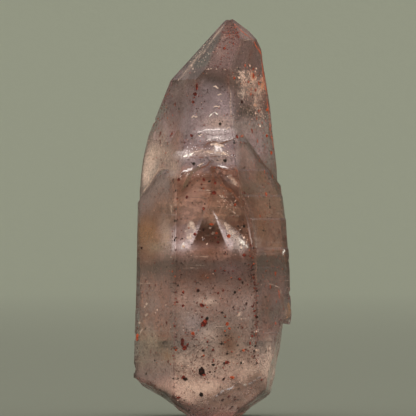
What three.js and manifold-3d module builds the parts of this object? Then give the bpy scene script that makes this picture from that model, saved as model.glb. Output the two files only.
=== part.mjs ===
// A phantom amethyst point: one natural quartz crystal, grown as a six-sided prism under a tip of
// sloping faces, with a thicker overgrowth round its lower two thirds and a broken, rough foot.
//
// Millimetres, +Z up along the crystal's long axis, the widest clean face towards -Y.
// The crystal is laid out round its tip axis, the upright line through the tip, and is then moved
// so that the origin is under the middle of its outline, on the flat of the foot.
import * as THREE from "three";
import { mergeVertices } from "three/addons/utils/BufferGeometryUtils.js";
import Module from "manifold-3d";

const wasm = await Module();
wasm.setup();

// Driving dimensions
const TIP_HEIGHT = 63.4;
const TIP_SLOPE = Math.tan(THREE.MathUtils.degToRad(51.8)); // fall of a tip face per mm outwards
const TERRACE_SLOPE = 2.4; // the same for the steeper upper rim of a growth terrace
const TERRACE_TILT = 3; // degrees that a terrace leans back at its lower end, into its face
const REACH = 40; // half the size of the blocks that bound the crystal
const BELOW_FOOT = -6; // the blocks run below the foot, which is cut off flat at zero
const STEP_DEPTH = 0.03; // how far a prism face steps in at one growth line
const STEP_SPACING = 3.6; // typical height between two growth lines

// The six prism faces, by the angle of their outward direction from -Y towards +X, in degrees
const AZIMUTH = { front: 0, frontRight: 60, backRight: 120, back: 180, backLeft: 240, frontLeft: 300 };

// Each growth stage is a whole crystal. For each face, tip is the height at which its tip face would
// meet the tip axis, slope is how steeply that tip face falls, prism lists [height, distance from the
// tip axis] up the prism face, and top is its distance where the tip face begins.
// Terraces are low rounded plates on a face: the middle's place along the face, the height of the
// upper rim, the width, the middle's distance out, how deep the sloping rim is, how far the plate
// reaches down from its rim, and how many degrees its upper rim climbs to the right.
const CORE = {
  front: {
    tip: TIP_HEIGHT,
    prism: [[0, 6.9], [45.6, 6.6]],
    top: 6.25,
    terraces: [
      { middle: -2.4, height: 52.8, width: 1.5, out: 6.37, down: 1.6 },
      { middle: -1.8, height: 51.3, width: 1.2, out: 6.43, down: 1.6 },
      { middle: -2.1, height: 50.2, width: 1.8, out: 6.47, down: 2.0 },
      { middle: -2.4, height: 49.4, width: 2.6, out: 6.5, down: 2.4, lean: -4 },
      { middle: -2.7, height: 48.5, width: 3.6, out: 6.53, down: 2.8, lean: 5 },
      { middle: -5.4, height: 47.8, width: 2.2, out: 6.55, down: 2.4, lean: 8 },
      { middle: -2.5, height: 45.9, width: 6.6, out: 6.66, lean: 4 },
      { middle: -4.8, height: 45.0, width: 3.4, out: 6.8, down: 4, lean: 3 },
      { middle: -1.2, height: 44.8, width: 6.6, out: 6.96, lean: 3 },
    ],
  },
  frontRight: { tip: 63.55, prism: [[0, 5.3], [39, 4.3], [45.9, 3.4], [54, 2.9]], top: 2.62 },
  backRight: {
    tip: 65.9,
    prism: [[0, 8.5], [39.7, 8.45], [46.1, 8.0], [48.6, 7.8], [52.5, 7.0], [56.3, 6.1]],
    top: 5.7,
  },
  back: { tip: 63.9, prism: [[0, 13.0], [30, 12.7]], top: 11.9 },
  backLeft: { tip: 64.7, prism: [[0, 14.5], [38, 14.4], [41, 14.2], [44.8, 13.3], [47.4, 12.0]], top: 8.8 },
  frontLeft: { tip: 63.9, prism: [[0, 10.9], [36, 10.9], [42.7, 10.0], [46.9, 9.24]], top: 8.0 },
};
const OVERGROWTH = {
  front: {
    tip: 59.8,
    slope: TERRACE_SLOPE,
    prism: [[0, 7.7]],
    top: 7.7,
    terraces: [
      { middle: -3.2, height: 43.4, width: 3.6, out: 7.12, rim: 0.3, lean: 10 },
      { middle: -0.4, height: 44.2, width: 4.2, out: 7.12, rim: 0.35, lean: 7 },
      { middle: -2.2, height: 43.2, width: 1.7, out: 7.52, rim: 0.5, down: 2.2 },
    ],
  },
  frontRight: {
    tip: 49.0,
    prism: [
      [0, 8.1], [14.7, 7.66], [26.6, 7.35], [27.0, 7.1], [31.4, 6.65], [31.7, 6.45],
      [35.1, 5.75], [35.4, 5.55], [39.2, 4.85], [39.5, 4.65],
    ],
    top: 4.15,
  },
  backRight: { tip: 44.5, slope: 0.9, prism: [[0, 8.9], [19, 8.65]], top: 8.5 },
  back: { tip: 53.5, prism: [[0, 13.1]], top: 12.9 },
  backLeft: { tip: 46.8, slope: 0.89, prism: [[0, 14.6]], top: 14.5 },
  frontLeft: {
    tip: 55.1,
    prism: [[0, 11.2], [35, 11.0]],
    top: 10.55,
    terraces: [{ middle: 0.6, height: 42.4, width: 4.4, out: 10.55, rim: 0.6, slope: TIP_SLOPE, lean: 5 }],
  },
};
const OUTER_SKIN = {
  front: {
    tip: 57.6,
    slope: TERRACE_SLOPE,
    prism: [[0, 8.35]],
    top: 8.05,
    terraces: [
      { middle: -7.2, height: 39.6, width: 4.2, out: 7.94, rim: 0.5, lean: -3 },
      { middle: -4.0, height: 40.7, width: 4.6, out: 7.8, rim: 0.35, lean: 12 },
      { middle: -1.0, height: 40.5, width: 4.0, out: 7.86, rim: 0.4, lean: -9 },
      { middle: 0.9, height: 39.6, width: 2.8, out: 7.9, rim: 0.4, lean: -12 },
    ],
  },
  frontRight: {
    tip: 80,
    slope: 9,
    prism: [[0, 8.2], [14.7, 7.76], [26.0, 7.45], [26.5, 7.0], [34.1, 5.7]],
    top: 4.4,
  },
  backRight: { tip: 38.0, slope: 0.9, prism: [[0, 9.1], [16, 9.0], [20, 8.75]], top: 8.5 },
  back: { tip: 51.0, prism: [[0, 13.4]], top: 13.2 },
  backLeft: { tip: 46.9, slope: 0.89, prism: [[0, 14.9], [12, 14.75], [20, 14.45]], top: 14.35 },
  frontLeft: {
    tip: 52.8,
    prism: [[0, 12.35], [10.6, 12.05], [25, 11.7], [35.4, 11.5]],
    top: 11.4,
    terraces: [
      { middle: 2.2, height: 39.3, width: 5.0, out: 11.28, rim: 0.7, slope: TIP_SLOPE, lean: -5 },
      { middle: -2.2, height: 39.4, width: 4.4, out: 11.26, rim: 0.6, slope: TIP_SLOPE, lean: 9 },
    ],
  },
};

// Shell-shaped breaks. at is a point of the break from the tip axis, out its outward direction, bowl
// how deep it is scooped, and strike where its ripples start, as shares of half its width and height.
const BREAKS = [
  { at: [5.2, 0.8, 0.2], out: [0.975, -0.1, -0.2], size: [26, 30], bowl: 0.05, strike: [0.1, 1.05] },
  { at: [7.0, 3.0, 3.6], out: [0.97, 0.05, -0.24], size: [22, 10], bowl: 0.5, strike: [0.5, 1.2] },
  { at: [4.4, 0.4, 2.5], out: [0.6, -0.1, -0.79], size: [24, 16], bowl: 0.35, strike: [-0.9, 0.6] },
  { at: [-11.6, 2.4, 3.0], out: [-0.56, -0.1, -0.82], size: [28, 22], bowl: 0.4, strike: [-0.6, 0.9] },
  { at: [0.6, -8.2, 5.0], out: [0.33, -0.62, -0.71], size: [20, 18], bowl: 0.4, strike: [0.9, 0.4] },
  { at: [-6.6, -8.0, 1.5], out: [-0.2, -0.6, -0.77], size: [16, 10], bowl: 0.3, strike: [-0.4, -0.9] },
  { at: [2.5, 12.6, 5.2], out: [0.22, 0.66, -0.72], size: [24, 20], bowl: 1.2, strike: [0.5, 0.9] },
  { at: [-7.5, 11.4, 5.6], out: [-0.42, 0.58, -0.7], size: [18, 18], bowl: 0.9, strike: [-0.7, 0.4] },
];
const BREAK_CELL = 0.62; // size of one facet of a break
const BREAK_DEPTH = 16; // thickness of the block that a break takes away
const RIPPLE_HEIGHT = 0.05;
const RIPPLE_LENGTH = 2.3;
const UNEVENNESS = 0.14;

// Small bruises on edges and corners: place from the tip axis, and radius
const CHIPS = [
  { at: [-0.3, 0.2, 64.7], radius: 1.2 },
  { at: [4.5, 2.0, 60.0], radius: 0.4 },
  { at: [5.5, 3.2, 55.0], radius: 0.35 },
  { at: [6.4, 4.3, 48.6], radius: 0.35 },
  { at: [-9.5, 0.4, 53.6], radius: 0.4 },
  { at: [-12.3, 2.9, 47.2], radius: 0.4 },
  { at: [1.0, -7.6, 44.4], radius: 0.45 },
  { at: [9.7, 0.9, 14.8], radius: 0.85 },
  { at: [8.8, -0.5, 14.8], radius: 0.75 },
  { at: [8.0, -1.9, 14.9], radius: 0.6 },
  { at: [9.0, 2.6, 14.7], radius: 0.8 },
  { at: [8.2, 4.1, 14.7], radius: 0.7 },
  { at: [9.7, 1.1, 17.3], radius: 0.35 },
  { at: [9.4, 1.2, 19.6], radius: 0.4 },
  { at: [9.3, 1.0, 24.8], radius: 0.35 },
  { at: [-15.6, 2.7, 12.7], radius: 0.5 },
  { at: [-15.6, 2.6, 7.6], radius: 0.6 },
  { at: [-9.2, -8.5, 12.2], radius: 0.35 },
  { at: [4.1, -8.5, 20.4], radius: 0.35 },
  { at: [4.3, -8.5, 9.6], radius: 0.4 },
  { at: [7.0, 13.5, 26.0], radius: 0.6 },
  { at: [-8.6, 13.4, 20.0], radius: 0.8 },
  { at: [-8.2, 13.0, 40.0], radius: 0.5 },
];

// A repeatable number from 0 to 1 for any whole number
const scatter = (n) => (((Math.sin(n * 127.1 + 11.7) * 43758.5453) % 1) + 1) % 1;

// A closed geometry as a solid
function solidOf(geometry) {
  geometry.deleteAttribute("normal");
  geometry.deleteAttribute("uv");
  const merged = mergeVertices(geometry, 1e-5);
  return new wasm.Manifold(
    new wasm.Mesh({
      numProp: 3,
      vertProperties: merged.attributes.position.array,
      triVerts: new Uint32Array(merged.index.array),
    }),
  );
}

// A solid as a geometry
function geometryOf(solid) {
  const { vertProperties, triVerts } = solid.getMesh();
  return new THREE.BufferGeometry()
    .setAttribute("position", new THREE.BufferAttribute(vertProperties, 3))
    .setIndex(new THREE.BufferAttribute(triVerts, 1));
}

// The directions of a prism face: outwards, up, and to the right as seen from outside
function faceDirections(azimuth) {
  const angle = THREE.MathUtils.degToRad(azimuth);
  const out = new THREE.Vector3(Math.sin(angle), -Math.cos(angle), 0);
  const up = new THREE.Vector3(0, 0, 1);
  return { out, up, right: new THREE.Vector3().crossVectors(up, out) };
}

// One stretch of a prism face from [z0, d0] up to [z1, d1], broken by growth lines: the face runs
// straight, then steps in along the slope of the tip. Leaves out the stretch's two ends.
function growthLines([z0, d0], [z1, d1], seed) {
  const points = [];
  const count = Math.floor((z1 - z0) / STEP_SPACING);
  for (let i = 0; i < count; i++) {
    const share = (i + 0.1 + 0.8 * scatter(seed + i)) / count;
    const z = z0 + share * (z1 - z0);
    const d = d0 + share * (d1 - d0);
    const depth = STEP_DEPTH * (0.4 + 1.6 * scatter(seed + 50 + i));
    points.push(new THREE.Vector2(d + depth / 2, z - (depth * TIP_SLOPE) / 2));
    points.push(new THREE.Vector2(d - depth / 2, z + (depth * TIP_SLOPE) / 2));
  }
  return points;
}

// Everything behind one prism face and the tip face above it, as a long block of that outline
function behindFace(name, { tip, slope = TIP_SLOPE, prism, top, terraces = [] }) {
  const seed = AZIMUTH[name] + Math.round(tip);
  const rows = [...prism, [tip - slope * top, top]];
  const outline = [new THREE.Vector2(-REACH, BELOW_FOOT), new THREE.Vector2(rows[0][1], BELOW_FOOT)];
  for (let i = 0; i < rows.length; i++) {
    outline.push(new THREE.Vector2(rows[i][1], rows[i][0]));
    if (i + 1 < rows.length) outline.push(...growthLines(rows[i], rows[i + 1], seed + 7 * i));
  }
  outline.push(new THREE.Vector2(-REACH, tip + slope * REACH));
  const geometry = new THREE.ExtrudeGeometry(new THREE.Shape(outline), {
    depth: 2 * REACH,
    bevelEnabled: false,
  });
  const { out, up, right } = faceDirections(AZIMUTH[name]);
  geometry.translate(0, 0, -REACH);
  geometry.applyMatrix4(new THREE.Matrix4().makeBasis(out, up, right.clone().negate()));
  return terraces.reduce((block, terrace) => block.add(terracePlate(name, terrace)), solidOf(geometry));
}

// One terrace: a low plate with a rounded outline, whose rim slopes from the full outline at its
// inner side to a smaller outline at its outer side
function terracePlate(name, terrace) {
  const { middle, height, width, out, rim = 0.25, down = 6, slope = TERRACE_SLOPE, lean = 0 } = terrace;
  const outline = [];
  for (let i = 0; i < 20; i++) {
    const turn = (i / 20) * 2 * Math.PI;
    const squared = (wave) => Math.sign(wave) * Math.abs(wave) ** 0.62; // flatter than an ellipse
    outline.push(
      new THREE.Vector2((squared(Math.cos(turn)) * width) / 2, (squared(Math.sin(turn)) * down) / 2),
    );
  }
  const plate = new THREE.ExtrudeGeometry(new THREE.Shape(outline), { depth: rim, bevelEnabled: false });
  const place = plate.attributes.position;
  const smaller = 1 - (2 * slope * rim) / Math.max(down, 4 * slope * rim);
  for (let i = 0; i < place.count; i++) {
    if (place.getZ(i) > rim / 2) place.setXY(i, place.getX(i) * smaller, place.getY(i) * smaller);
  }
  plate.translate(0, 0, -rim);
  plate.rotateX(THREE.MathUtils.degToRad(TERRACE_TILT));
  plate.rotateZ(THREE.MathUtils.degToRad(lean));
  plate.translate(middle, height - down / 2, out);
  const directions = faceDirections(AZIMUTH[name]);
  return solidOf(
    plate.applyMatrix4(new THREE.Matrix4().makeBasis(directions.right, directions.up, directions.out)),
  );
}

// A whole crystal: all that lies behind its six prism faces and the tip faces over them
function growthStage(stage) {
  return Object.keys(AZIMUTH)
    .map((name) => behindFace(name, stage[name]))
    .reduce((crystal, block) => crystal.intersect(block));
}

// The depth of a shell-shaped break at x, y on it: a shallow bowl, ripples that spread from the
// strike point, and a broad unevenness
function breakRelief(x, y, { size, bowl, strike }, seed) {
  const u = (2 * x) / size[0];
  const v = (2 * y) / size[1];
  const far = Math.hypot(x - (strike[0] * size[0]) / 2, y - (strike[1] * size[1]) / 2);
  const wobble = 1.6 * Math.sin(0.31 * x + seed) + 1.1 * Math.sin(0.43 * y - 2 * seed);
  const ripple = RIPPLE_HEIGHT * Math.sin((2 * Math.PI * far) / RIPPLE_LENGTH + wobble);
  const uneven =
    Math.sin(0.9 * x + 0.5 * y + seed) * Math.sin(0.7 * y - 0.4 * x + 2 * seed) +
    0.3 * Math.sin(1.7 * x - 1.1 * y + 3 * seed) * Math.sin(0.8 * y + 0.3 * x - seed);
  return bowl * (1 - (u * u + v * v) / 2) + ripple * (0.4 + 0.6 * scatter(seed)) + UNEVENNESS * uneven;
}

// The block that a break takes away, its inner side shaped as the break
function brokenAway(shell, index) {
  const [width, height] = shell.size;
  const cells = [Math.round(width / BREAK_CELL), Math.round(height / BREAK_CELL)];
  const block = new THREE.BoxGeometry(width, height, BREAK_DEPTH, ...cells, 1);
  block.translate(0, 0, BREAK_DEPTH / 2);
  const place = block.attributes.position;
  for (let i = 0; i < place.count; i++) {
    if (place.getZ(i) > BREAK_DEPTH / 2) continue;
    place.setZ(i, -breakRelief(place.getX(i), place.getY(i), shell, index + 1));
  }
  const turn = new THREE.Matrix4().lookAt(
    new THREE.Vector3(...shell.out),
    new THREE.Vector3(),
    new THREE.Vector3(0, 0, 1),
  );
  return solidOf(block.applyMatrix4(turn).translate(...shell.at));
}

// What a small bruise takes away: an uneven lump
function chip({ at, radius }, index) {
  const lump = new THREE.IcosahedronGeometry(radius, 1);
  lump.deleteAttribute("normal");
  lump.deleteAttribute("uv");
  const merged = mergeVertices(lump, 1e-5);
  const place = merged.attributes.position;
  for (let i = 0; i < place.count; i++) {
    const swell = 0.8 + 0.35 * scatter(31 * index + i);
    place.setXYZ(i, place.getX(i) * swell, place.getY(i) * swell, place.getZ(i) * swell * 1.3);
  }
  return solidOf(merged.translate(...at));
}

// Everything below the flat of the foot
function underFoot() {
  const slab = new THREE.BoxGeometry(2 * REACH, 2 * REACH, REACH);
  return solidOf(slab.translate(0, 0, -REACH / 2));
}

function crystalPoint() {
  let crystal = growthStage(CORE).add(growthStage(OVERGROWTH)).add(growthStage(OUTER_SKIN));
  for (const [i, shell] of BREAKS.entries()) crystal = crystal.subtract(brokenAway(shell, i));
  for (const [i, bruise] of CHIPS.entries()) crystal = crystal.subtract(chip(bruise, i));
  const geometry = geometryOf(crystal.subtract(underFoot()));
  geometry.computeBoundingBox();
  const middle = geometry.boundingBox.getCenter(new THREE.Vector3());
  geometry.translate(-middle.x, -middle.y, -geometry.boundingBox.min.z);
  const material = new THREE.MeshStandardMaterial({ color: 0x9a8088, roughness: 0.08, metalness: 0 });
  const mesh = new THREE.Mesh(geometry, material);
  mesh.name = "amethyst_point";
  return mesh;
}

const group = new THREE.Group();
group.add(crystalPoint());

export default group;
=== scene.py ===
# %% [markdown]
# # Phantom amethyst point
#
# The object is one natural crystal of quartz, standing on its broken foot. It is pale violet-brown,
# clear enough to see into, and carries its own history inside: two earlier, smaller crystals show
# as dusty six-sided ghosts, called phantoms, and specks of iron oxide are scattered all through it.
#
# The lesson has three parts: the stage and camera, the clear body with its skin, and the pieces
# inside the body. The clear body comes from the frame. Everything inside is a surface worked out
# here with numpy, in millimetres, and turned into metres when the mesh is made.

import math

import bpy
import numpy as np
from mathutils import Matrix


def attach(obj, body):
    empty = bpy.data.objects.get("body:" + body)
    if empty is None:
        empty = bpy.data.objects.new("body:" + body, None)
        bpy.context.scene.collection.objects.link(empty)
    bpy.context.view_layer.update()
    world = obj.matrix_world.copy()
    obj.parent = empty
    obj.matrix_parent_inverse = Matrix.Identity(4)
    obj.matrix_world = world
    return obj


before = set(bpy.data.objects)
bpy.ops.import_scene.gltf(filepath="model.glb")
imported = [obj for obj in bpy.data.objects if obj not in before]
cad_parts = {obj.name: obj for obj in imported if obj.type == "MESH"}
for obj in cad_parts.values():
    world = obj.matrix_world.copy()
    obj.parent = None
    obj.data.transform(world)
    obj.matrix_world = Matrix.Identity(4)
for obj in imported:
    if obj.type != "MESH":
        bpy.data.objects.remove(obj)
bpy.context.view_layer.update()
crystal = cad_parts["amethyst_point"]
scene = bpy.context.scene
MM = 0.001

# %% [markdown]
# ## Camera
#
# The picture is square and 66.6 mm wide at the crystal, and the crystal is seen level with its
# middle, straight on to its widest clean face. A long lens keeps the upright edges parallel. It
# could also be an orthographic camera, but a long lens keeps a little of the true perspective.

# %% Camera
PICTURE_WIDTH = 66.56
CAMERA_AWAY = 1200.0
CAMERA_SIDE = -0.72
CAMERA_HEIGHT = 33.28
SENSOR = 36.0
SEEN_FROM_TO = (0.05, 20.0)


def place_camera():
    """A camera that looks along +Y, its lens set so that the picture width fits at the crystal."""
    data = bpy.data.cameras.new("camera")
    data.sensor_width = SENSOR
    data.lens = SENSOR * CAMERA_AWAY / PICTURE_WIDTH
    data.clip_start, data.clip_end = SEEN_FROM_TO
    camera = bpy.data.objects.new("camera", data)
    camera.location = (CAMERA_SIDE * MM, -CAMERA_AWAY * MM, CAMERA_HEIGHT * MM)
    camera.rotation_euler = (math.pi / 2, 0, 0)
    scene.collection.objects.link(camera)
    scene.camera = camera
    print("lens in mm:", round(data.lens, 1))


place_camera()

# %% [markdown]
# ## Node helpers
#
# A material is a small graph. These helpers add one node at a time, set its plain values by the
# names of its sockets, and join it to what feeds it, so that each finish below reads as a recipe.

# %% Node helpers
EVEN = (1.0, 1.0, 1.0)
GRAIN_ROUGHNESS = 0.55


def new_material(name):
    """An empty material with its output node."""
    material = bpy.data.materials.new(name)
    material.use_nodes = True
    material.node_tree.nodes.clear()
    output = material.node_tree.nodes.new("ShaderNodeOutputMaterial")
    return material, material.node_tree, output


def feed(tree, target, value):
    """Joins a node's output to a socket, or sets the socket's plain value."""
    if isinstance(value, bpy.types.NodeSocket):
        tree.links.new(value, target)
    else:
        target.default_value = value


def add_node(tree, kind, sockets=None, **settings):
    """A new node with its settings made and its sockets, named or numbered, fed."""
    node = tree.nodes.new(kind)
    for name, value in settings.items():
        setattr(node, name, value)
    for name, value in (sockets or {}).items():
        feed(tree, node.inputs[name], value)
    return node


def coat(tree, output, sockets):
    """A Principled shader with its sockets fed, joined to the material's surface."""
    shader = add_node(tree, "ShaderNodeBsdfPrincipled", sockets)
    tree.links.new(shader.outputs[0], output.inputs["Surface"])


def calculate(tree, operation, *values, **settings):
    """One step of arithmetic; MULTIPLY_ADD is the first times the second, plus the third."""
    sockets = dict(enumerate(values))
    return add_node(tree, "ShaderNodeMath", sockets, operation=operation, **settings).outputs[0]


def even_step(tree, value, low, high, kind="LINEAR"):
    """Nought below low, one above high, and a straight rise between them."""
    sockets = {"Value": value, "From Min": low, "From Max": high}
    return add_node(tree, "ShaderNodeMapRange", sockets, interpolation_type=kind).outputs["Result"]


def soft_step(tree, value, low, high):
    """Nought below low, one above high, and a smooth rise between them."""
    return even_step(tree, value, low, high, "SMOOTHSTEP")


def one_axis(tree, vector, axis):
    """The X, Y or Z of a vector."""
    return add_node(tree, "ShaderNodeSeparateXYZ", {0: vector}).outputs[axis]


def face_lean(tree):
    """How far up a face looks: one where it is level, nought where it is upright."""
    return one_axis(tree, add_node(tree, "ShaderNodeNewGeometry").outputs["True Normal"], "Z")


def object_place(tree):
    """Where a point lies, in Object coordinates."""
    return add_node(tree, "ShaderNodeTexCoord").outputs["Object"]


def stretched_place(tree, stretch):
    """Object coordinates, with each axis scaled on its own."""
    sockets = {"Vector": object_place(tree), "Scale": stretch}
    return add_node(tree, "ShaderNodeMapping", sockets).outputs["Vector"]


def grain(tree, size, stretch=EVEN, detail=3.0):
    """Cloudy noise from 0 to 1 whose patches are about size mm across."""
    sockets = {
        "Vector": stretched_place(tree, stretch),
        "Scale": 1.0 / (size * MM),
        "Detail": detail,
        "Roughness": GRAIN_ROUGHNESS,
    }
    return add_node(tree, "ShaderNodeTexNoise", sockets).outputs["Fac"]


def mix_colours(tree, share, first, second):
    """The first colour where share is nought, the second where it is one."""
    sockets = {0: share, 6: first, 7: second}
    return add_node(tree, "ShaderNodeMix", sockets, data_type="RGBA").outputs[2]


# %% [markdown]
# ## Mesh helpers
#
# Every new surface is a grid of points. Its rows run one way and its columns the other, and a grid
# that goes round the crystal is closed, so its last column joins its first.


# %% Mesh helpers
def grid_faces(rows, columns, closed):
    """Four-sided faces between neighbouring points; closed joins the last column to the first."""
    index = np.arange(rows * columns).reshape(rows, columns)
    if closed:
        index = np.concatenate((index, index[:, :1]), axis=1)
    corners = (index[:-1, :-1], index[:-1, 1:], index[1:, 1:], index[1:, :-1])
    return np.stack(corners, axis=-1).reshape(-1, 4)


def repeated_faces(faces, count, points_each):
    """One part's faces, numbered on for each of many equal parts whose points follow on."""
    first = np.arange(count)[:, None, None] * points_each
    return (faces[None] + first).reshape(-1, faces.shape[-1])


def make_mesh_object(name, points, material, *face_groups, smooth=True):
    """A mesh object at the origin, its points given in millimetres."""
    faces = [face for group in face_groups for face in group.tolist()]
    mesh = bpy.data.meshes.new(name)
    mesh.from_pydata((points.reshape(-1, 3) * MM).tolist(), [], faces)
    mesh.polygons.foreach_set("use_smooth", np.full(len(faces), smooth))
    mesh.materials.append(material)
    mesh.update()
    made = bpy.data.objects.new(name, mesh)
    scene.collection.objects.link(made)
    print(name, len(faces), "faces")
    return made


# %% [markdown]
# ## Stage
#
# The crystal stands on a pale, slightly green paper floor that curves up behind it without an
# edge. The real backdrop is a sheet of paper; here it is a shallow bowl, flat in the middle, so
# that every side view has the same quiet ground. It is no part of the object.

# %% Studio bowl
FLOOR_RADIUS = 1700.0
BEND_RADIUS = 900.0
WALL_HEIGHT = 1000.0
PIN_HOLE = 0.5
FLOOR_STEPS = 12
BEND_STEPS = 24
BOWL_COLUMNS = 96


def bowl_profile():
    """Out along the floor, a quarter turn upwards, then straight up: radius and height in mm."""
    floor_out = np.linspace(PIN_HOLE, FLOOR_RADIUS, FLOOR_STEPS)
    floor = np.stack((floor_out, np.zeros(FLOOR_STEPS)), axis=-1)
    turn = np.linspace(0.0, math.pi / 2, BEND_STEPS)[1:]
    bend_out = FLOOR_RADIUS + BEND_RADIUS * np.sin(turn)
    bend_up = BEND_RADIUS * (1.0 - np.cos(turn))
    bend = np.stack((bend_out, bend_up), axis=-1)
    wall = np.array([[FLOOR_RADIUS + BEND_RADIUS, WALL_HEIGHT]])
    return np.concatenate((floor, bend, wall))


def studio_bowl(material):
    """The profile carried once round the upright axis."""
    profile = bowl_profile()
    turn = np.linspace(0.0, 2 * math.pi, BOWL_COLUMNS, endpoint=False)
    x = profile[:, :1] * np.cos(turn)
    y = -profile[:, :1] * np.sin(turn)
    z = np.repeat(profile[:, 1:], BOWL_COLUMNS, axis=1)
    points = np.stack((x, y, z), axis=-1)
    made = make_mesh_object("studio_bowl", points, material, grid_faces(len(profile), BOWL_COLUMNS, True))


# %% Backdrop paper
# The near tone is painted shade: the same paper, darker round the crystal.
PAPER_SHADED_NEAR = (0.46, 0.47, 0.39, 1.0)
PAPER_FAR = (0.76, 0.79, 0.66, 1.0)
PAPER_FADE = (0.3, 2.9)
TOOTH_SIZE = 3.0
TOOTH_DEPTH = 0.0002


def backdrop_paper():
    """Matt paper, made a little darker round the crystal than towards the wall by painted shade, with a
    faint tooth.
    """
    material, tree, output = new_material("backdrop_paper")
    flat = add_node(tree, "ShaderNodeVectorMath", {0: object_place(tree)}, operation="LENGTH")
    fade = soft_step(tree, flat.outputs["Value"], *PAPER_FADE)
    colour = mix_colours(tree, fade, PAPER_SHADED_NEAR, PAPER_FAR)
    sockets = {"Height": grain(tree, TOOTH_SIZE), "Distance": TOOTH_DEPTH}
    tooth = add_node(tree, "ShaderNodeBump", sockets).outputs[0]
    coat(tree, output, {"Base Color": colour, "Roughness": 0.9, "Normal": tooth})
    return material


studio_bowl(backdrop_paper())

# %% [markdown]
# ## Light
#
# Clear stone shows what surrounds it, so the five lamps that light it are large and soft: a strong
# one on the left in front, weaker ones on the right, straight in front and low down, and one
# behind. They light the dust inside, and are seen neither in the faces nor through the stone, where
# they would show as white squares. A sixth lamp, narrow and above the camera, is seen only in
# reflections, and puts glints on the growth steps. The sky over the bowl fills in.

# %% Lamps
SKY_LOW = (0.27, 0.27, 0.25, 1.0)
SKY_HIGH = (0.52, 0.52, 0.48, 1.0)
SKY_STRENGTH = 1.0
SKY_BLEND = (0.0, 0.9)
AIM = (0.0, 0.0, 0.033)
# Each lamp is its name, place in m, width and height in m, power in W, colour.
LAMPS = (
    ("key_lamp", (-1.8, -1.3, 1.3), (1.6, 1.6), 62.0, (1.0, 0.97, 0.94)),
    ("fill_lamp", (2.0, -1.2, 0.9), (1.4, 1.4), 42.0, (0.98, 0.98, 1.0)),
    ("front_lamp", (0.2, -2.3, 0.55), (1.2, 0.8), 46.0, (1.0, 0.98, 0.95)),
    ("back_lamp", (0.9, 2.1, 1.2), (1.4, 1.4), 60.0, (1.0, 0.98, 0.95)),
    ("low_lamp", (0.5, -1.8, 0.05), (1.6, 0.3), 16.0, (1.0, 0.98, 0.95)),
)
# The lamp that makes the glints, a row of the same kind.
GLINT = ("glint_lamp", (-0.12, -1.0, 1.05), (0.9, 0.12), 3.5, (1.0, 1.0, 1.0))

lit_by_lamps = bpy.data.collections.new("lit_by_lamps")


def aimed_lamp(name, place, size, power, colour):
    """An oblong lamp turned towards the crystal, and screened from the paper behind it."""
    data = bpy.data.lights.new(name, "AREA")
    data.shape = "RECTANGLE"
    data.size, data.size_y = size
    data.energy = power
    data.color = colour
    lamp = bpy.data.objects.new(name, data)
    lamp.location = place
    towards = [aim - start for aim, start in zip(AIM, place)]
    tilt = math.atan2(math.hypot(towards[0], towards[1]), -towards[2])
    turn = math.atan2(towards[1], towards[0]) - math.pi / 2
    lamp.rotation_euler = (tilt, 0.0, turn)
    lamp.light_linking.receiver_collection = lit_by_lamps
    lamp.visible_transmission = False
    scene.collection.objects.link(lamp)
    return lamp


def light_stage():
    """The sky, the soft lamps and the narrow lamp for glints."""
    world = bpy.data.worlds.new("sky")
    world.use_nodes = True
    tree = world.node_tree
    sky = tree.nodes["Background"]
    up = one_axis(tree, add_node(tree, "ShaderNodeTexCoord").outputs["Generated"], "Z")
    colour = mix_colours(tree, soft_step(tree, up, *SKY_BLEND), SKY_LOW, SKY_HIGH)
    tree.links.new(colour, sky.inputs["Color"])
    sky.inputs["Strength"].default_value = SKY_STRENGTH
    scene.world = world
    for lamp in LAMPS:
        aimed_lamp(*lamp).visible_glossy = False
    aimed_lamp(*GLINT).visible_diffuse = False
    print("lamps:", len(LAMPS) + 1)


light_stage()

# %% [markdown]
# ## How light is followed
#
# A ray that enters the crystal crosses many thin dusty sheets before it leaves, so it may pass
# more see-through surfaces than usual. The picture keeps the plain display transform, so that the
# colours of the stone come out as mixed.

# %% Light paths
CYCLES_LIMITS = {
    "max_bounces": 14,
    "transmission_bounces": 12,
    "glossy_bounces": 6,
    "diffuse_bounces": 4,
    "transparent_max_bounces": 64,
    "sample_clamp_indirect": 3.0,
    "blur_glossy": 0.5,
    "caustics_refractive": False,
    "caustics_reflective": False,
    "use_denoising": True,
}


def set_light_paths():
    """How far light is followed, and how the result is shown."""
    for name, value in CYCLES_LIMITS.items():
        setattr(scene.cycles, name, value)
    scene.view_settings.view_transform = "Standard"
    scene.view_settings.look = "None"


set_light_paths()

# %% [markdown]
# ## Measuring the skin
#
# Everything inside has to stay inside, also where the crystal is broken. So the skin is measured
# first: at each height the frame's triangles are cut into short lines, and from the axis under the
# tip a ray goes out in each direction to the nearest of them.

# %% Skin distances
TIP_AXIS = np.array([2.96, -2.50])
SKIN_STEP = 0.5
SKIN_HEIGHTS = np.arange(0.27, 63.2, SKIN_STEP)
SKIN_TURNS = 180
PARALLEL = 1e-12
TINY = 1e-6


def outward(turn):
    """Unit directions for turns in degrees: 0 faces the camera, 90 is to the right."""
    angle = np.radians(turn)
    return np.stack((np.sin(angle), -np.cos(angle)), axis=-1)


def slice_lines(corners, height):
    """The lines in which a level plane cuts the triangles: both ends of each, across only."""
    above = corners[:, :, 2] > height
    cut = corners[above.any(axis=1) & ~above.all(axis=1)]
    ends = np.roll(cut, -1, axis=1)
    crossed = (cut[:, :, 2] > height) != (ends[:, :, 2] > height)
    start, end = cut[crossed], ends[crossed]
    share = (height - start[:, 2:]) / (end[:, 2:] - start[:, 2:])
    return (start + share * (end - start))[:, :2].reshape(-1, 2, 2)


def crossed_with(first, second):
    """The cross product of two level vectors: x1 y2 - y1 x2."""
    return first[..., 0] * second[..., 1] - first[..., 1] * second[..., 0]


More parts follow.
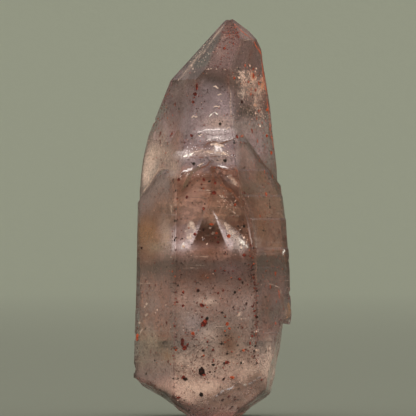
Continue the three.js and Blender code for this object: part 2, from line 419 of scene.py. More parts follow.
def nearest_crossing(lines, directions):
    """From the tip axis along each direction, the distance to the nearest line it crosses."""
    start = lines[None, :, 0] - TIP_AXIS
    along = lines[None, :, 1] - lines[None, :, 0]
    out = directions[:, None, :]
    turned = crossed_with(out, along)
    turned = np.where(np.abs(turned) < PARALLEL, PARALLEL, turned)
    reach = crossed_with(start, along) / turned
    share = crossed_with(start, out) / turned
    hit = (share >= -TINY) & (share <= 1 + TINY) & (reach > 0)
    nearest = np.where(hit, reach, np.inf).min(axis=1)
    return np.where(np.isfinite(nearest), nearest, 0.0)


def measure_skin(node):
    """The table of skin distances: one row per height, one column per direction."""
    mesh = node.data
    places = np.empty(len(mesh.vertices) * 3)
    mesh.vertices.foreach_get("co", places)
    mesh.calc_loop_triangles()
    index = np.empty(len(mesh.loop_triangles) * 3, dtype=np.int64)
    mesh.loop_triangles.foreach_get("vertices", index)
    corners = places.reshape(-1, 3)[index].reshape(-1, 3, 3) / MM
    directions = outward(np.arange(SKIN_TURNS) * 360.0 / SKIN_TURNS)
    rows = [nearest_crossing(slice_lines(corners, height), directions) for height in SKIN_HEIGHTS]
    return np.array(rows)


SKIN = measure_skin(crystal)
print("skin distance from", round(SKIN.min(), 2), "to", round(SKIN.max(), 2), "mm")

# %% Reading the skin
LAST_ROW = len(SKIN_HEIGHTS) - 1.001
LOWEST, HIGHEST = 0.6, 62.6
HIGHEST_IN_FRONT = 62.9
STEP_ROOM = 0.4
LEAST_REACH = 0.02
FRONT_TURNS = np.linspace(-135.0, 145.0, 281)


def between_two(first, second, share):
    """The first where share is nought, the second where it is one."""
    return first * (1 - share) + second * share


def skin_at(turn, height):
    """The skin's distance from the tip axis, read between the table's rows and columns."""
    column = np.mod(turn, 360.0) * SKIN_TURNS / 360.0
    row = np.clip((height - SKIN_HEIGHTS[0]) / SKIN_STEP, 0.0, LAST_ROW)
    left = np.floor(column).astype(int) % SKIN_TURNS
    right = (left + 1) % SKIN_TURNS
    low = np.floor(row).astype(int)
    across = column - np.floor(column)
    bottom = between_two(SKIN[low, left], SKIN[low, right], across)
    top = between_two(SKIN[low + 1, left], SKIN[low + 1, right], across)
    return between_two(bottom, top, row - low)


def round_axis(turn, reach, height):
    """Points in the frame from turns, distances from the tip axis, and heights."""
    across = TIP_AXIS + outward(turn) * reach[..., None]
    return np.concatenate((across, height[..., None]), axis=-1)


def keep_inside(points, margin):
    """Points pulled towards the tip axis until they lie at least margin under the skin."""
    apart = points[..., :2] - TIP_AXIS
    reach = np.hypot(apart[..., 0], apart[..., 1])
    turn = np.degrees(np.arctan2(apart[..., 0], -apart[..., 1]))
    height = np.clip(points[..., 2], LOWEST, HIGHEST)
    room = np.minimum(skin_at(turn, height - STEP_ROOM), skin_at(turn, height + STEP_ROOM))
    allowed = np.clip(room - margin, LEAST_REACH, None)
    return round_axis(turn, np.minimum(reach, allowed), height)


def pick(rows, index):
    """From each row, the value at that row's own index."""
    return np.take_along_axis(rows, index, -1)[..., 0]


def under_front(x, height, depth):
    """Points at x and height that lie depth behind the skin as the camera sees it."""
    shape = x.shape + FRONT_TURNS.shape
    turns = np.broadcast_to(FRONT_TURNS, shape)
    level = np.broadcast_to(np.clip(height, LOWEST, HIGHEST_IN_FRONT)[..., None], shape)
    reach = skin_at(turns, level)
    across = reach * np.sin(np.radians(turns)) + TIP_AXIS[0]
    back = TIP_AXIS[1] - reach * np.cos(np.radians(turns))
    passed = (across[..., :-1] <= x[..., None]) & (across[..., 1:] > x[..., None])
    first = np.where(passed, back[..., :-1], np.inf).argmin(axis=-1)
    first = np.where(passed.any(axis=-1), first, np.abs(across - x[..., None]).argmin(axis=-1))
    first = np.clip(first, 0, len(FRONT_TURNS) - 2)[..., None]
    start, end = pick(across, first), pick(across, first + 1)
    near, far = pick(back, first), pick(back, first + 1)
    share = np.clip((x - start) / np.where(np.abs(end - start) < TINY, TINY, end - start), 0, 1)
    return np.stack((x, near + (far - near) * share + depth, height), axis=-1)


# %% [markdown]
# ## The clear body
#
# The body is the frame's own node. Its loose triangles are welded and its flat faces joined with
# modifiers, and a fine bevel breaks every arris, as handling and age do on a real crystal, so that
# each one catches a thin line of light. Clear stone bends light by 1.544 times and swallows a
# little green and blue on the way through, which gives the violet-brown tint of its thicker parts.
#
# Light that goes to a lamp passes the skin unbent, so that the lamps reach the dust inside without
# noise. Where the stone is broken, under the foot and low on the right, its skin is frosted.

# %% Skin relief
STRIATIONS = (2.2, (0.12, 0.12, 3.0), 5.0)
STRIATION_DEPTH = 0.00004
WAVES_IN_SKIN = (4.5, EVEN, 1.0)
WAVE_DEPTH = 0.00012
PITS = (0.35, EVEN, 2.0)
PITTED = (0.62, 0.75)
PIT_DEPTH = 0.00001
PIT_STRENGTH = 0.6
ETCHING = (1.3, (0.5, 0.5, 2.4), 3.0)
ETCHING_DEPTH = 0.0006
RIM_SLOPE = (0.16, 0.28, 0.46, 0.56)


def sloping_rims(tree):
    """One on the rims of the growth steps, which lean back less than the tip's faces do."""
    lean = face_lean(tree)
    leaning = soft_step(tree, lean, *RIM_SLOPE[:2])
    steep = soft_step(tree, lean, *RIM_SLOPE[2:])
    return calculate(tree, "SUBTRACT", leaning, steep)


def skin_relief(tree):
    """Growth lines across the faces, slow waves, fine pits and etched rims, added up as bumps."""
    etched = calculate(tree, "MULTIPLY", grain(tree, *ETCHING), sloping_rims(tree))
    layers = (
        (grain(tree, *STRIATIONS), STRIATION_DEPTH, 1.0),
        (grain(tree, *WAVES_IN_SKIN), WAVE_DEPTH, 1.0),
        (soft_step(tree, grain(tree, *PITS), *PITTED), PIT_DEPTH, PIT_STRENGTH),
        (etched, ETCHING_DEPTH, 1.0),
    )
    below = {}
    for height, depth, strength in layers:
        sockets = {"Height": height, "Distance": depth, "Strength": strength, **below}
        bump = add_node(tree, "ShaderNodeBump", sockets)
        below = {"Normal": bump.outputs[0]}
    return bump.outputs[0]


# %% Clear quartz
QUARTZ_BEND = 1.544
QUARTZ_TINT = (0.985, 0.975, 0.975, 1.0)
ABSORBED_COLOUR = (0.34, 0.08, 0.13, 1.0)
ABSORBED_DENSITY = 42.0
LAMP_THROUGH_SKIN = (0.92, 0.92, 0.92, 1.0)
POLISH = 0.015
WEAR = 0.05
WEAR_GRAIN = (1.6, EVEN, 4.0)
WORN = (0.5, 0.8)
FROST_ROUGHNESS = 0.3
MATT_SHARE = 0.07
FRACTURE_TINT = (0.60, 0.46, 0.40, 1.0)
UNDERSIDE = (-0.12, -0.35)
FROST_RIGHT = (0.0088, 0.0102)
FROST_RIGHT_BELOW = (0.020, 0.016)
BREAK_GRAIN = (1.4, EVEN, 4.0)
RAGGED_BREAK = (0.35, 0.6)


def frosted_breaks(tree):
    """One where the stone is broken: on the underside of the foot, and low on the right."""
    place = object_place(tree)
    foot = soft_step(tree, face_lean(tree), *UNDERSIDE)
    right = soft_step(tree, one_axis(tree, place, "X"), *FROST_RIGHT)
    low = soft_step(tree, one_axis(tree, place, "Z"), *FROST_RIGHT_BELOW)
    both = calculate(tree, "MAXIMUM", foot, calculate(tree, "MULTIPLY", right, low))
    return calculate(tree, "MULTIPLY", both, soft_step(tree, grain(tree, *BREAK_GRAIN), *RAGGED_BREAK))


def clear_quartz():
    """Glassy stone: transmission, bending and absorption; rays to a lamp pass the skin unbent."""
    material, tree, output = new_material("clear_quartz")
    worn = soft_step(tree, grain(tree, *WEAR_GRAIN), *WORN)
    polish = calculate(tree, "MULTIPLY_ADD", worn, WEAR, POLISH)
    frosted = frosted_breaks(tree)
    sockets = {
        "Base Color": mix_colours(tree, frosted, QUARTZ_TINT, FRACTURE_TINT),
        "Roughness": calculate(tree, "MULTIPLY_ADD", frosted, FROST_ROUGHNESS, polish),
        "IOR": QUARTZ_BEND,
        "Transmission Weight": calculate(tree, "MULTIPLY_ADD", frosted, -MATT_SHARE, 1.0),
        "Normal": skin_relief(tree),
    }
    glass = add_node(tree, "ShaderNodeBsdfPrincipled", sockets)
    through = add_node(tree, "ShaderNodeBsdfTransparent", {"Color": LAMP_THROUGH_SKIN})
    to_lamp = add_node(tree, "ShaderNodeLightPath").outputs["Is Shadow Ray"]
    sockets = {0: to_lamp, 1: glass.outputs[0], 2: through.outputs[0]}
    surface = add_node(tree, "ShaderNodeMixShader", sockets)
    sockets = {"Color": ABSORBED_COLOUR, "Density": ABSORBED_DENSITY}
    inside = add_node(tree, "ShaderNodeVolumeAbsorption", sockets)
    tree.links.new(surface.outputs[0], output.inputs["Surface"])
    tree.links.new(inside.outputs[0], output.inputs["Volume"])
    return material


# %% Dress the node
WELD_WITHIN = 0.002
FLAT_WITHIN = 0.4
ARRIS_WIDTH = 0.05
ARRIS_STEPS = 2
ARRIS_SHARPER_THAN = 24.0


def dress_crystal():
    """Weld, join flat faces, then bevel the sharp edges; the node's own mesh isn't changed."""
    weld = crystal.modifiers.new("weld", "WELD")
    weld.merge_threshold = WELD_WITHIN * MM
    flatten = crystal.modifiers.new("join_flat_faces", "DECIMATE")
    flatten.decimate_type = "DISSOLVE"
    flatten.angle_limit = math.radians(FLAT_WITHIN)
    bevel = crystal.modifiers.new("worn_arrises", "BEVEL")
    bevel.width = ARRIS_WIDTH * MM
    bevel.segments = ARRIS_STEPS
    bevel.limit_method = "ANGLE"
    bevel.angle_limit = math.radians(ARRIS_SHARPER_THAN)
    lit_by_lamps.objects.link(crystal)
    crystal.data.materials.clear()
    crystal.data.materials.append(clear_quartz())


dress_crystal()

# %% [markdown]
# ## Painting dust
#
# Dust in a crystal is never even. Each sheet carries two marks on its points: how much it covers,
# and its colour. Mostly that is dust, but some spots, edges and streaks are painted highlights and
# painted shade. The ground is a column of tones for each of the three faces that are seen, from the
# foot to the tip. Over it go facets, which are filled evenly, round spots, which fall off as a bell
# curve, and edges, which are sharp along a line and fade out below it; under the two ledges that
# fade is painted shade. The far side gets the same, warped by slow waves so that it is no copy of
# the front.

# %% Palette
# Pale dust and painted light share these colours: white, frost, pearl and bloom also make painted
# highlights and glows, and heather, smoke, russet and umber also make painted shade under ledges.
COLOURS = {
    "white": (0.97, 0.90, 0.78),
    "pearl": (0.58, 0.43, 0.33),
    "frost": (0.80, 0.705, 0.67),
    "bloom": (0.40, 0.28, 0.21),
    "blush": (0.22, 0.147, 0.12),
    "dusk": (0.066, 0.041, 0.032),
    "lilac": (0.225, 0.168, 0.165),
    "mallow": (0.185, 0.142, 0.115),
    "rose": (0.36, 0.22, 0.17),
    "tan": (0.34, 0.19, 0.12),
    "olive": (0.27, 0.20, 0.135),
    "brown": (0.21, 0.10, 0.046),
    "russet": (0.132, 0.066, 0.045),
    "moss": (0.09, 0.075, 0.056),
    "umber": (0.12, 0.042, 0.022),
    "bark": (0.105, 0.043, 0.025),
    "cocoa": (0.11, 0.064, 0.038),
    "amber": (0.50, 0.16, 0.05),
    "smoke": (0.076, 0.046, 0.034),
    "slate": (0.22, 0.16, 0.135),
    "heather": (0.17, 0.112, 0.095),
    "maroon": (0.135, 0.076, 0.066),
    "rust": (0.37, 0.068, 0.025),
    "gold": (0.78, 0.55, 0.42),
}

# %% Ground tones
# For each face: height in mm, colour, cover.
LEFT_GROUND = (
    (0, "rose", 0.9), (5, "rose", 0.8), (7.5, "slate", 0.75), (11, "olive", 0.6), (16, "slate", 0.6),
    (20, "heather", 0.7), (25, "smoke", 0.8), (26.5, "russet", 0.8), (29, "brown", 0.7),
    (33, "russet", 0.75), (35, "heather", 0.8), (38, "slate", 0.6), (44, "slate", 0.55),
    (50, "heather", 0.6), (54, "slate", 0.5), (62, "rose", 0.6),
)
FRONT_GROUND = (
    (0, "rose", 0.8), (4, "bloom", 0.6), (7, "bloom", 0.6), (9.6, "bloom", 0.62), (12.4, "mallow", 0.8),
    (16, "mallow", 0.75), (19, "blush", 0.75), (22.2, "dusk", 0.85), (25.0, "dusk", 1.0),
    (27.2, "umber", 0.05), (38.8, "rose", 0.05), (39.8, "lilac", 0.7), (42, "lilac", 0.8),
    (45, "lilac", 0.7), (52, "lilac", 0.7), (54.2, "dusk", 0.8), (55.6, "maroon", 0.8),
    (56.2, "heather", 0.7), (59, "blush", 0.7), (62, "rose", 0.7),
)
RIGHT_GROUND = (
    (0, "rose", 0.85), (4, "olive", 0.7), (9, "pearl", 0.5), (12, "slate", 0.6), (14.5, "maroon", 0.8),
    (17, "smoke", 0.75), (19, "maroon", 0.8), (25.2, "smoke", 0.95), (26, "umber", 0.7),
    (28, "russet", 0.85), (33, "bark", 0.8), (36.5, "cocoa", 0.85), (39, "maroon", 0.75),
    (42, "slate", 0.6), (46, "slate", 0.55), (47.5, "maroon", 0.6), (55, "maroon", 0.7),
    (60, "russet", 0.7),
)
# Where the front face meets its neighbours: height and x.
LEFT_ARRIS = ((0, -6.1), (37.6, -6.0), (41, -4.7), (47, -4.5), (54, -3.6), (58, -1.6), (62, 1.6))
RIGHT_ARRIS = (
    (0, 6.9), (20, 6.8), (25, 6.3), (30, 6.0), (35, 4.3), (42, 3.8), (46, 3.1), (54, 2.5), (60, 4.4),
)
ARRIS_BLUR = 0.18
WAVE_COUNT = 6


def ripples(u, v, seed, wave=9.0):
    """The sum of six sine waves of random direction, length and phase, between about -1 and 1."""
    draw = np.random.default_rng(seed)
    waves = draw.uniform(-wave, wave, (WAVE_COUNT, 2))
    phases = draw.uniform(0.0, 2 * math.pi, WAVE_COUNT)
    angle = u[..., None] * waves[:, 0] + v[..., None] * waves[:, 1] + phases
    return np.sin(angle).sum(axis=-1) * 2 / WAVE_COUNT


def read_line(line, at):
    """The second value of a line's points, read between them at the first."""
    return np.interp(at, *zip(*line))


def ground_tones(table, height):
    """Colour and cover read off a column of tones at each height."""
    levels, names, covers = zip(*table)
    shades = np.array([COLOURS[name] for name in names])
    colour = [np.interp(height, levels, shades[:, channel]) for channel in range(3)]
    return np.stack(colour, axis=-1), np.interp(height, levels, covers)


def rise(value, low, high):
    """Nought below low, one above high, and a smooth S between them: 3t^2 - 2t^3."""
    share = np.clip((value - low) / (high - low), 0.0, 1.0)
    return share * share * (3.0 - 2.0 * share)


def beyond_arrises(x, height):
    """One left of the left arris, and one right of the right arris, as two arrays."""
    left = rise(read_line(LEFT_ARRIS, height) - x, -ARRIS_BLUR, ARRIS_BLUR)
    right = rise(x - read_line(RIGHT_ARRIS, height), -ARRIS_BLUR, ARRIS_BLUR)
    return left, right


def painted_ground(x, height):
    """The front face's tones between the two arrises, its neighbours' beyond them."""
    colour, cover = ground_tones(FRONT_GROUND, height)
    for table, share in zip((LEFT_GROUND, RIGHT_GROUND), beyond_arrises(x, height)):
        side_colour, side_cover = ground_tones(table, height)
        colour = colour + (side_colour - colour) * share[..., None]
        cover = cover + (side_cover - cover) * share
    return colour, cover


# %% Spots, edges and facets
EDGE_END = 0.3
EDGE_START = (-0.1, 0.15)
FACET_BLUR = 0.15


def spot(x, height, place):
    """One at the spot's middle, falling off as exp(-across^2 - up^2)."""
    across = (x - place[0]) / place[2]
    up = (height - place[1]) / place[3]
    return np.exp(-(across**2) - up**2)


def below_edge(x, height, line, reach):
    """Nought above the line, one just below it, and then exp(-(drop / reach)^2)."""
    drop = read_line(line, x) - height
    first, last = line[0][0], line[-1][0]
    along = rise(x, first - EDGE_END, first + EDGE_END) * rise(-x, -last - EDGE_END, -last + EDGE_END)
    return along * rise(drop, *EDGE_START) * np.exp(-((np.clip(drop, 0.0, None) / reach) ** 2))


def inside_facet(x, height, corners):
    """The product, over a facet's sides, of a smooth rise across each; corners run clockwise."""
    share = np.ones(x.shape)
    for start, end in zip(corners, corners[1:] + corners[:1]):
        along = np.hypot(end[0] - start[0], end[1] - start[1])
        inward = (end[1] - start[1]) * (x - start[0]) - (end[0] - start[0]) * (height - start[1])
        share = share * rise(inward / along, -FACET_BLUR, FACET_BLUR)
    return share


# %% Painting a sheet
FAR_SIDE = (1.0, 7.0)
FAR_WARP = 3.0
FAR_SEEDS = (5, 6)
GROUND_WAVER = 0.8
SIDE_FACES = (-9.0, -3.0)
SIDE_WAVER = 0.9
WAVER_SEED = 3


def seen_from_front(points):
    """x and height as seen from the front; round the back slow waves warp both."""
    x, y, height = points[..., 0], points[..., 1], points[..., 2]
    warp = FAR_WARP * rise(y, *FAR_SIDE)
    across = warp * ripples(x / 6.0 + y / 7.0, height / 9.0, FAR_SEEDS[0], 3.0)
    up = warp * ripples(x / 6.0, height / 9.0 - y / 5.0, FAR_SEEDS[1], 3.0)
    return x + across, height + up


def wavy_height(points, height):
    """Height plus slow waves, small in front and larger at the sides: no band is dead level."""
    x, y = points[..., 0], points[..., 1]
    size = GROUND_WAVER + SIDE_WAVER * rise(y, *SIDE_FACES)
    return height + size * ripples(x / 9.0 + y / 6.0, height / 9.0, WAVER_SEED)


def lay_over(colour, cover, share, name, new_cover):
    """Mixes a named colour and a cover over what is there."""
    colour = colour + (np.array(COLOURS[name]) - colour) * share[..., None]
    return colour, cover + (new_cover - cover) * share


def lay_spots(x, height, colour, cover, spots):
    """Each spot of a table laid over in turn."""
    for *place, name, amount, new_cover in spots:
        colour, cover = lay_over(colour, cover, spot(x, height, place) * amount, name, new_cover)
    return colour, cover


def painted(points, ground, spots, edges=(), facets=()):
    """Colour and cover at each point: the ground, then facets, spots and edges over it in turn."""
    x, height = seen_from_front(points)
    colour, cover = ground(x, wavy_height(points, height))
    for corners, name, amount, new_cover in facets:
        share = inside_facet(x, height, corners) * amount
        colour, cover = lay_over(colour, cover, share, name, new_cover)
    colour, cover = lay_spots(x, height, colour, cover, spots)
    for line, reach, name, amount, new_cover in edges:
        share = below_edge(x, height, line, reach) * amount
        colour, cover = lay_over(colour, cover, share, name, new_cover)
    return colour, cover


def mark_mesh(made, colour, cover):
    """Stores the colour and cover, of dust and of painted highlights and shade, on the mesh's points."""
    mesh = made.data
    paint = mesh.attributes.new("dust_and_shading_colour", "FLOAT_COLOR", "POINT")
    full = np.concatenate((colour.reshape(-1, 3), np.ones((len(mesh.vertices), 1))), axis=1)
    paint.data.foreach_set("color", full.ravel())
    amount = mesh.attributes.new("dust_and_shading_cover", "FLOAT", "POINT")
    amount.data.foreach_set("value", cover.ravel())


# %% [markdown]
# ## Dust
#
# Dust lies on a sheet as fine grains in drifting patches. The finish reads the sheet's two marks
# and lets noise break them up: coarse noise for the drifts, fine noise for the grains. Some
# finishes also carry tiny dark dots, one in some of the cells of an uneven honeycomb.

# %% Dust finish
GRAIN_SPREAD = (0.3, 0.7)
DOT_DRAW = (0.35, 1.2)
DOT_SWELL = 1.7
DOT_HEART = 0.75
DOT_COLOUR = (0.03, 0.008, 0.006, 1.0)
DARK_GRAINS = 0.76
LIGHT_GRAINS = 1.32


def grainy_cover(tree, grain_size, drift_size, clumping, crispness, stretch):
    """Cover plus crispness times (noise + cover - 1): haze if that is nought, hard grains if high."""
    amount = add_node(tree, "ShaderNodeAttribute", attribute_name="dust_and_shading_cover").outputs["Fac"]
    level = even_step(tree, grain(tree, grain_size, stretch), *GRAIN_SPREAD)
    drifts = soft_step(tree, grain(tree, drift_size, stretch, detail=2.0), *GRAIN_SPREAD)
    uneven = calculate(tree, "MULTIPLY_ADD", drifts, clumping * 2.0, 1.0 - clumping)
    wanted = calculate(tree, "MULTIPLY", amount, uneven)
    grown = calculate(tree, "MULTIPLY_ADD", wanted, crispness + 1.0, -crispness)
    return level, calculate(tree, "MULTIPLY_ADD", level, crispness, grown, use_clamp=True)


def fine_dots(tree, spacing, radius):
    """One inside tiny round dots in some of the cells about spacing mm apart, nought between."""
    sockets = {"Vector": stretched_place(tree, EVEN), "Scale": 1.0 / (spacing * MM)}
    cells = add_node(tree, "ShaderNodeTexVoronoi", sockets)
    draw = add_node(tree, "ShaderNodeSeparateColor", {0: cells.outputs["Color"]}).outputs[0]
    largest = DOT_SWELL * radius / spacing
    size = calculate(tree, "MULTIPLY", soft_step(tree, draw, *DOT_DRAW), largest)
    inner = calculate(tree, "MULTIPLY", size, DOT_HEART)
    return even_step(tree, cells.outputs["Distance"], size, inner)


def dust_finish(name, grain_size, drift_size, clumping, crispness, stretch=EVEN, dots=None):
    """Matt grains on a see-through sheet; clumping leaves bare gaps, crispness hardens grains."""
    material, tree, output = new_material(name)
    paint = add_node(tree, "ShaderNodeAttribute", attribute_name="dust_and_shading_colour").outputs["Color"]
    level, cover = grainy_cover(tree, grain_size, drift_size, clumping, crispness, stretch)
    dark, light = (
        add_node(tree, "ShaderNodeHueSaturation", {"Color": paint, "Value": value}).outputs[0]
        for value in (DARK_GRAINS, LIGHT_GRAINS)
    )
    shade = mix_colours(tree, level, dark, light)
    if dots:
        spots = fine_dots(tree, *dots)
        shade = mix_colours(tree, spots, shade, DOT_COLOUR)
        cover = calculate(tree, "MAXIMUM", cover, spots)
    sockets = {"Base Color": shade, "Roughness": 0.7, "Alpha": cover, "Specular IOR Level": 0.2}
    coat(tree, output, sockets)
    return material


HAZY_DUST = dust_finish("hazy_dust", 0.8, 2.2, 0.3, 0.25)
SPECKLED_DUST = dust_finish("speckled_dust", 0.36, 3.0, 0.2, 0.4, dots=(0.62, 0.10))
DOTTED_DUST = dust_finish("dotted_dust", 0.32, 2.4, 0.25, 0.5, dots=(0.8, 0.11))
CRUMBLY_DUST = dust_finish("crumbly_dust", 0.24, 1.3, 0.6, 1.2, stretch=(0.9, 1.0, 1.2))
RAGGED_STREAK = dust_finish("ragged_streak", 0.2, 0.8, 0.7, 2.0)
THIN_FILM = dust_finish("thin_film", 0.3, 0.9, 0.5, 0.5)


def piece_inside(name, points, material, *face_groups, smooth=True):
    """A mesh that the lamps light and that rides on the crystal's body."""
    made = make_mesh_object(name, points, material, *face_groups, smooth=smooth)
    lit_by_lamps.objects.link(made)
    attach(made, "root")
    return made


def marked_sheet(name, points, faces, marks, material):
    """A sheet inside the stone, marked with its colour and cover: dust, and on some sheets painted
    highlights and shade.
    """
    made = piece_inside(name, points, material, faces)
    mark_mesh(made, *marks)
    return made


# %% [markdown]
# ## Growth shells
#
# While a crystal grows, dust settles on its faces again and again and is sealed in. Each time
# leaves a thin shell, parallel to the outside. Three such shells lie under the skin: a thin one
# close to it, and dustier ones deeper down. Each is the skin itself, moved in towards the axis
# under the tip, furthest in front, and smoothed so that small steps of the skin aren't copied.
#
# The shells cast no shadow, so that the lamps' light reaches the phantoms behind them.

# %% Growth shells
SHELL_TURNS = 240
SHELL_ROWS = 200
SMOOTHING = 5
RAISED = 0.6
SIDE_DEPTH = 0.45
FRONT_FALL = 3
LEAST_SHELL = 0.03
SHELL_MARGIN = 0.4


def smooth_upwards(room):
    """Each row's mean with its neighbours above and below."""
    padded = np.pad(room, ((SMOOTHING, SMOOTHING), (0, 0)), mode="edge")
    rows = [padded[shift : shift + len(room)] for shift in range(2 * SMOOTHING + 1)]
    return np.mean(rows, axis=0)


def growth_shell(inset, low, high):
    """The skin's distance less inset times (side share + rest times cos(turn)^3), smoothed."""
    turn = np.linspace(0.0, 360.0, SHELL_TURNS, endpoint=False)
    turns, heights = np.meshgrid(turn, np.linspace(low, high, SHELL_ROWS))
    room = smooth_upwards(skin_at(turns, np.clip(heights + inset * RAISED, LOWEST, HIGHEST)))
    facing = np.clip(np.cos(np.radians(turns)), 0.0, 1.0) ** FRONT_FALL
    depth = inset * (SIDE_DEPTH + (1.0 - SIDE_DEPTH) * facing)
    points = round_axis(turns, np.clip(room - depth, LEAST_SHELL, None), heights)
    return keep_inside(points, SHELL_MARGIN * inset)


# %% Spots on the shells
# Each is x, height, half width, half height, colour, amount, cover.
TIP_SPOTS_AND_HIGHLIGHTS = (
    (2.8, 61.4, 1.5, 2.0, "rust", 0.22, 0.75), (4.2, 58.6, 1.0, 1.4, "rust", 0.2, 0.8),
    (1.8, 48.0, 2.0, 2.6, "lilac", 0.8, 0.8), (0.9, 46.8, 2.2, 1.2, "bloom", 0.6, 0.7),
    (-3.4, 51.0, 0.7, 2.6, "maroon", 0.7, 0.7), (-2.4, 53.0, 0.8, 1.2, "umber", 0.5, 0.6),
    (3.2, 57.0, 1.2, 1.6, "maroon", 0.8, 0.85), (2.8, 53.6, 0.8, 2.0, "umber", 0.5, 0.7),
    (5.0, 48.8, 1.6, 1.2, "smoke", 0.9, 0.9), (7.6, 52.0, 0.8, 3.0, "umber", 0.4, 0.7),
    (1.2, 58.4, 0.8, 2.0, "rose", 0.5, 0.6), (-1.9, 58.0, 0.8, 1.4, "slate", 0.7, 0.6),
    # The frost and bloom spots in the next five rows, 40 to 46 mm up in front, are painted highlights on
    # the rims of the growth steps.
    (-0.4, 40.7, 3.6, 0.9, "lilac", 0.9, 0.92), (-0.6, 41.9, 3.6, 0.5, "bloom", 0.7, 0.9),
    (0.8, 42.7, 0.7, 0.8, "frost", 0.9, 0.95), (0.9, 44.4, 2.2, 0.4, "frost", 0.7, 0.9),
    (-1.2, 43.1, 1.0, 0.4, "maroon", 0.7, 0.9), (0.1, 39.4, 1.5, 0.6, "bark", 0.7, 0.8),
    (1.4, 40.8, 1.4, 0.4, "bloom", 0.7, 0.9), (0.4, 45.5, 2.8, 0.4, "frost", 0.6, 0.85),
    (-4.2, 41.6, 0.8, 0.5, "frost", 0.8, 0.9), (-6.0, 51.4, 1.6, 0.7, "maroon", 0.5, 0.6),
    (6.2, 52.2, 1.5, 2.4, "tan", 0.5, 0.75), (4.6, 53.6, 1.2, 1.2, "pearl", 0.4, 0.7),
)
SIDE_SPOTS = (
    (-9.7, 40.8, 1.4, 2.6, "pearl", 0.7, 0.85), (-8.2, 42.0, 1.8, 1.4, "bloom", 0.7, 0.75),
    (-8.0, 44.6, 1.4, 2.0, "bloom", 0.5, 0.6), (-5.9, 39.6, 0.8, 1.8, "bloom", 0.6, 0.6),
    (-10.6, 38.4, 1.0, 1.8, "pearl", 0.8, 0.75), (-10.4, 29.0, 1.4, 2.4, "brown", 0.8, 0.9),
    (-7.2, 29.2, 1.0, 3.0, "pearl", 0.5, 0.6), (-8.8, 27.0, 1.6, 1.0, "olive", 0.6, 0.7),
    (-11.0, 25.6, 0.8, 1.6, "umber", 0.4, 0.6), (8.6, 33.0, 1.6, 2.0, "tan", 0.35, 0.8),
    (7.4, 29.5, 1.0, 2.4, "brown", 0.5, 0.8), (9.8, 27.0, 1.2, 1.2, "tan", 0.5, 0.7),
    (7.0, 42.5, 1.2, 1.6, "lilac", 0.5, 0.6), (4.6, 40.2, 0.8, 2.6, "russet", 0.5, 0.6),
    (7.6, 36.2, 1.8, 1.0, "heather", 0.5, 0.8), (-9.2, 23.6, 2.0, 1.6, "smoke", 0.7, 0.8),
    (7.4, 30.0, 1.2, 3.4, "umber", 0.4, 0.8),
)
LOWER_SPOTS = (
    (-0.4, 26.2, 1.9, 0.8, "bark", 0.6, 0.75), (-1.2, 22.4, 1.4, 0.9, "umber", 0.7, 0.9),
    (3.2, 23.4, 2.4, 1.4, "maroon", 0.7, 0.85), (-0.8, 18.4, 1.4, 0.7, "pearl", 0.6, 0.75),
    (-4.8, 19.4, 1.0, 1.4, "rose", 0.6, 0.7), (-3.0, 14.6, 2.2, 2.2, "lilac", 0.5, 0.75),
    (-0.6, 13.0, 1.6, 1.4, "pearl", 0.4, 0.7), (2.7, 11.7, 1.9, 2.6, "cocoa", 0.85, 0.92),
    (2.6, 11.9, 1.2, 1.9, "umber", 0.45, 0.95), (-6.8, 9.7, 0.9, 1.0, "brown", 0.7, 0.8),
    (4.6, 17.4, 1.8, 2.0, "slate", 0.6, 0.75), (9.2, 16.8, 1.3, 1.8, "smoke", 0.7, 0.85),
    (9.4, 20.4, 1.4, 1.2, "smoke", 0.6, 0.85), (-9.8, 12.4, 1.6, 2.0, "olive", 0.6, 0.75),
    (-9.2, 18.0, 1.2, 1.4, "slate", 0.5, 0.7), (-9.9, 7.8, 1.7, 1.3, "maroon", 0.7, 0.8),
    (-8.0, 4.4, 1.4, 1.2, "rose", 0.6, 0.85), (-0.6, 4.8, 3.4, 1.2, "bloom", 0.6, 0.85),
    (4.4, 2.4, 2.4, 1.3, "rose", 0.6, 0.9), (8.8, 8.6, 1.6, 2.6, "bloom", 0.7, 0.8),
    (11.9, 16.6, 0.7, 1.4, "tan", 0.8, 0.9), (5.4, 7.0, 1.6, 1.4, "bloom", 0.6, 0.8),
)
FOOT_SPOTS = (
    (-1.0, 3.0, 8.0, 2.4, "bloom", 0.55, 0.75), (5.0, 2.2, 2.8, 1.6, "pearl", 0.6, 0.9),
    (8.6, 4.8, 2.0, 2.2, "rose", 0.8, 0.9), (-6.6, 4.4, 2.4, 1.8, "rose", 0.8, 0.85),
)

# %% Edges and facets on the shells
# Each edge is a line of x and height, how far it fades below, colour, amount, cover. The dark fade
# below the two ledges is painted shade.
LEFT_LEDGE = ((-11.8, 34.6), (-9.7, 36.8), (-8.1, 39.2), (-7.1, 38.9), (-6.8, 37.6))
RIGHT_LEDGE = ((3.8, 44.3), (4.6, 44.7), (5.2, 44.2), (7.0, 41.6), (9.2, 39.2), (10.6, 36.5))
BROKEN_LIP = ((0.1, 3.7), (3.6, 5.3), (5.2, 5.3), (7.9, 6.6))
LEDGE_EDGES_AND_SHADE = (
    (LEFT_LEDGE, 2.6, "heather", 0.95, 0.95),
    (RIGHT_LEDGE, 1.5, "smoke", 0.85, 0.9),
    (((-4.6, 55.4), (2.4, 55.4)), 1.8, "dusk", 0.6, 0.9),
    (((3.2, 47.1), (8.8, 47.3)), 1.8, "slate", 0.85, 0.7),
    (((6.4, 25.7), (11.4, 25.7)), 3.4, "smoke", 0.8, 0.9),
    (BROKEN_LIP, 2.2, "rose", 0.5, 0.9),
)
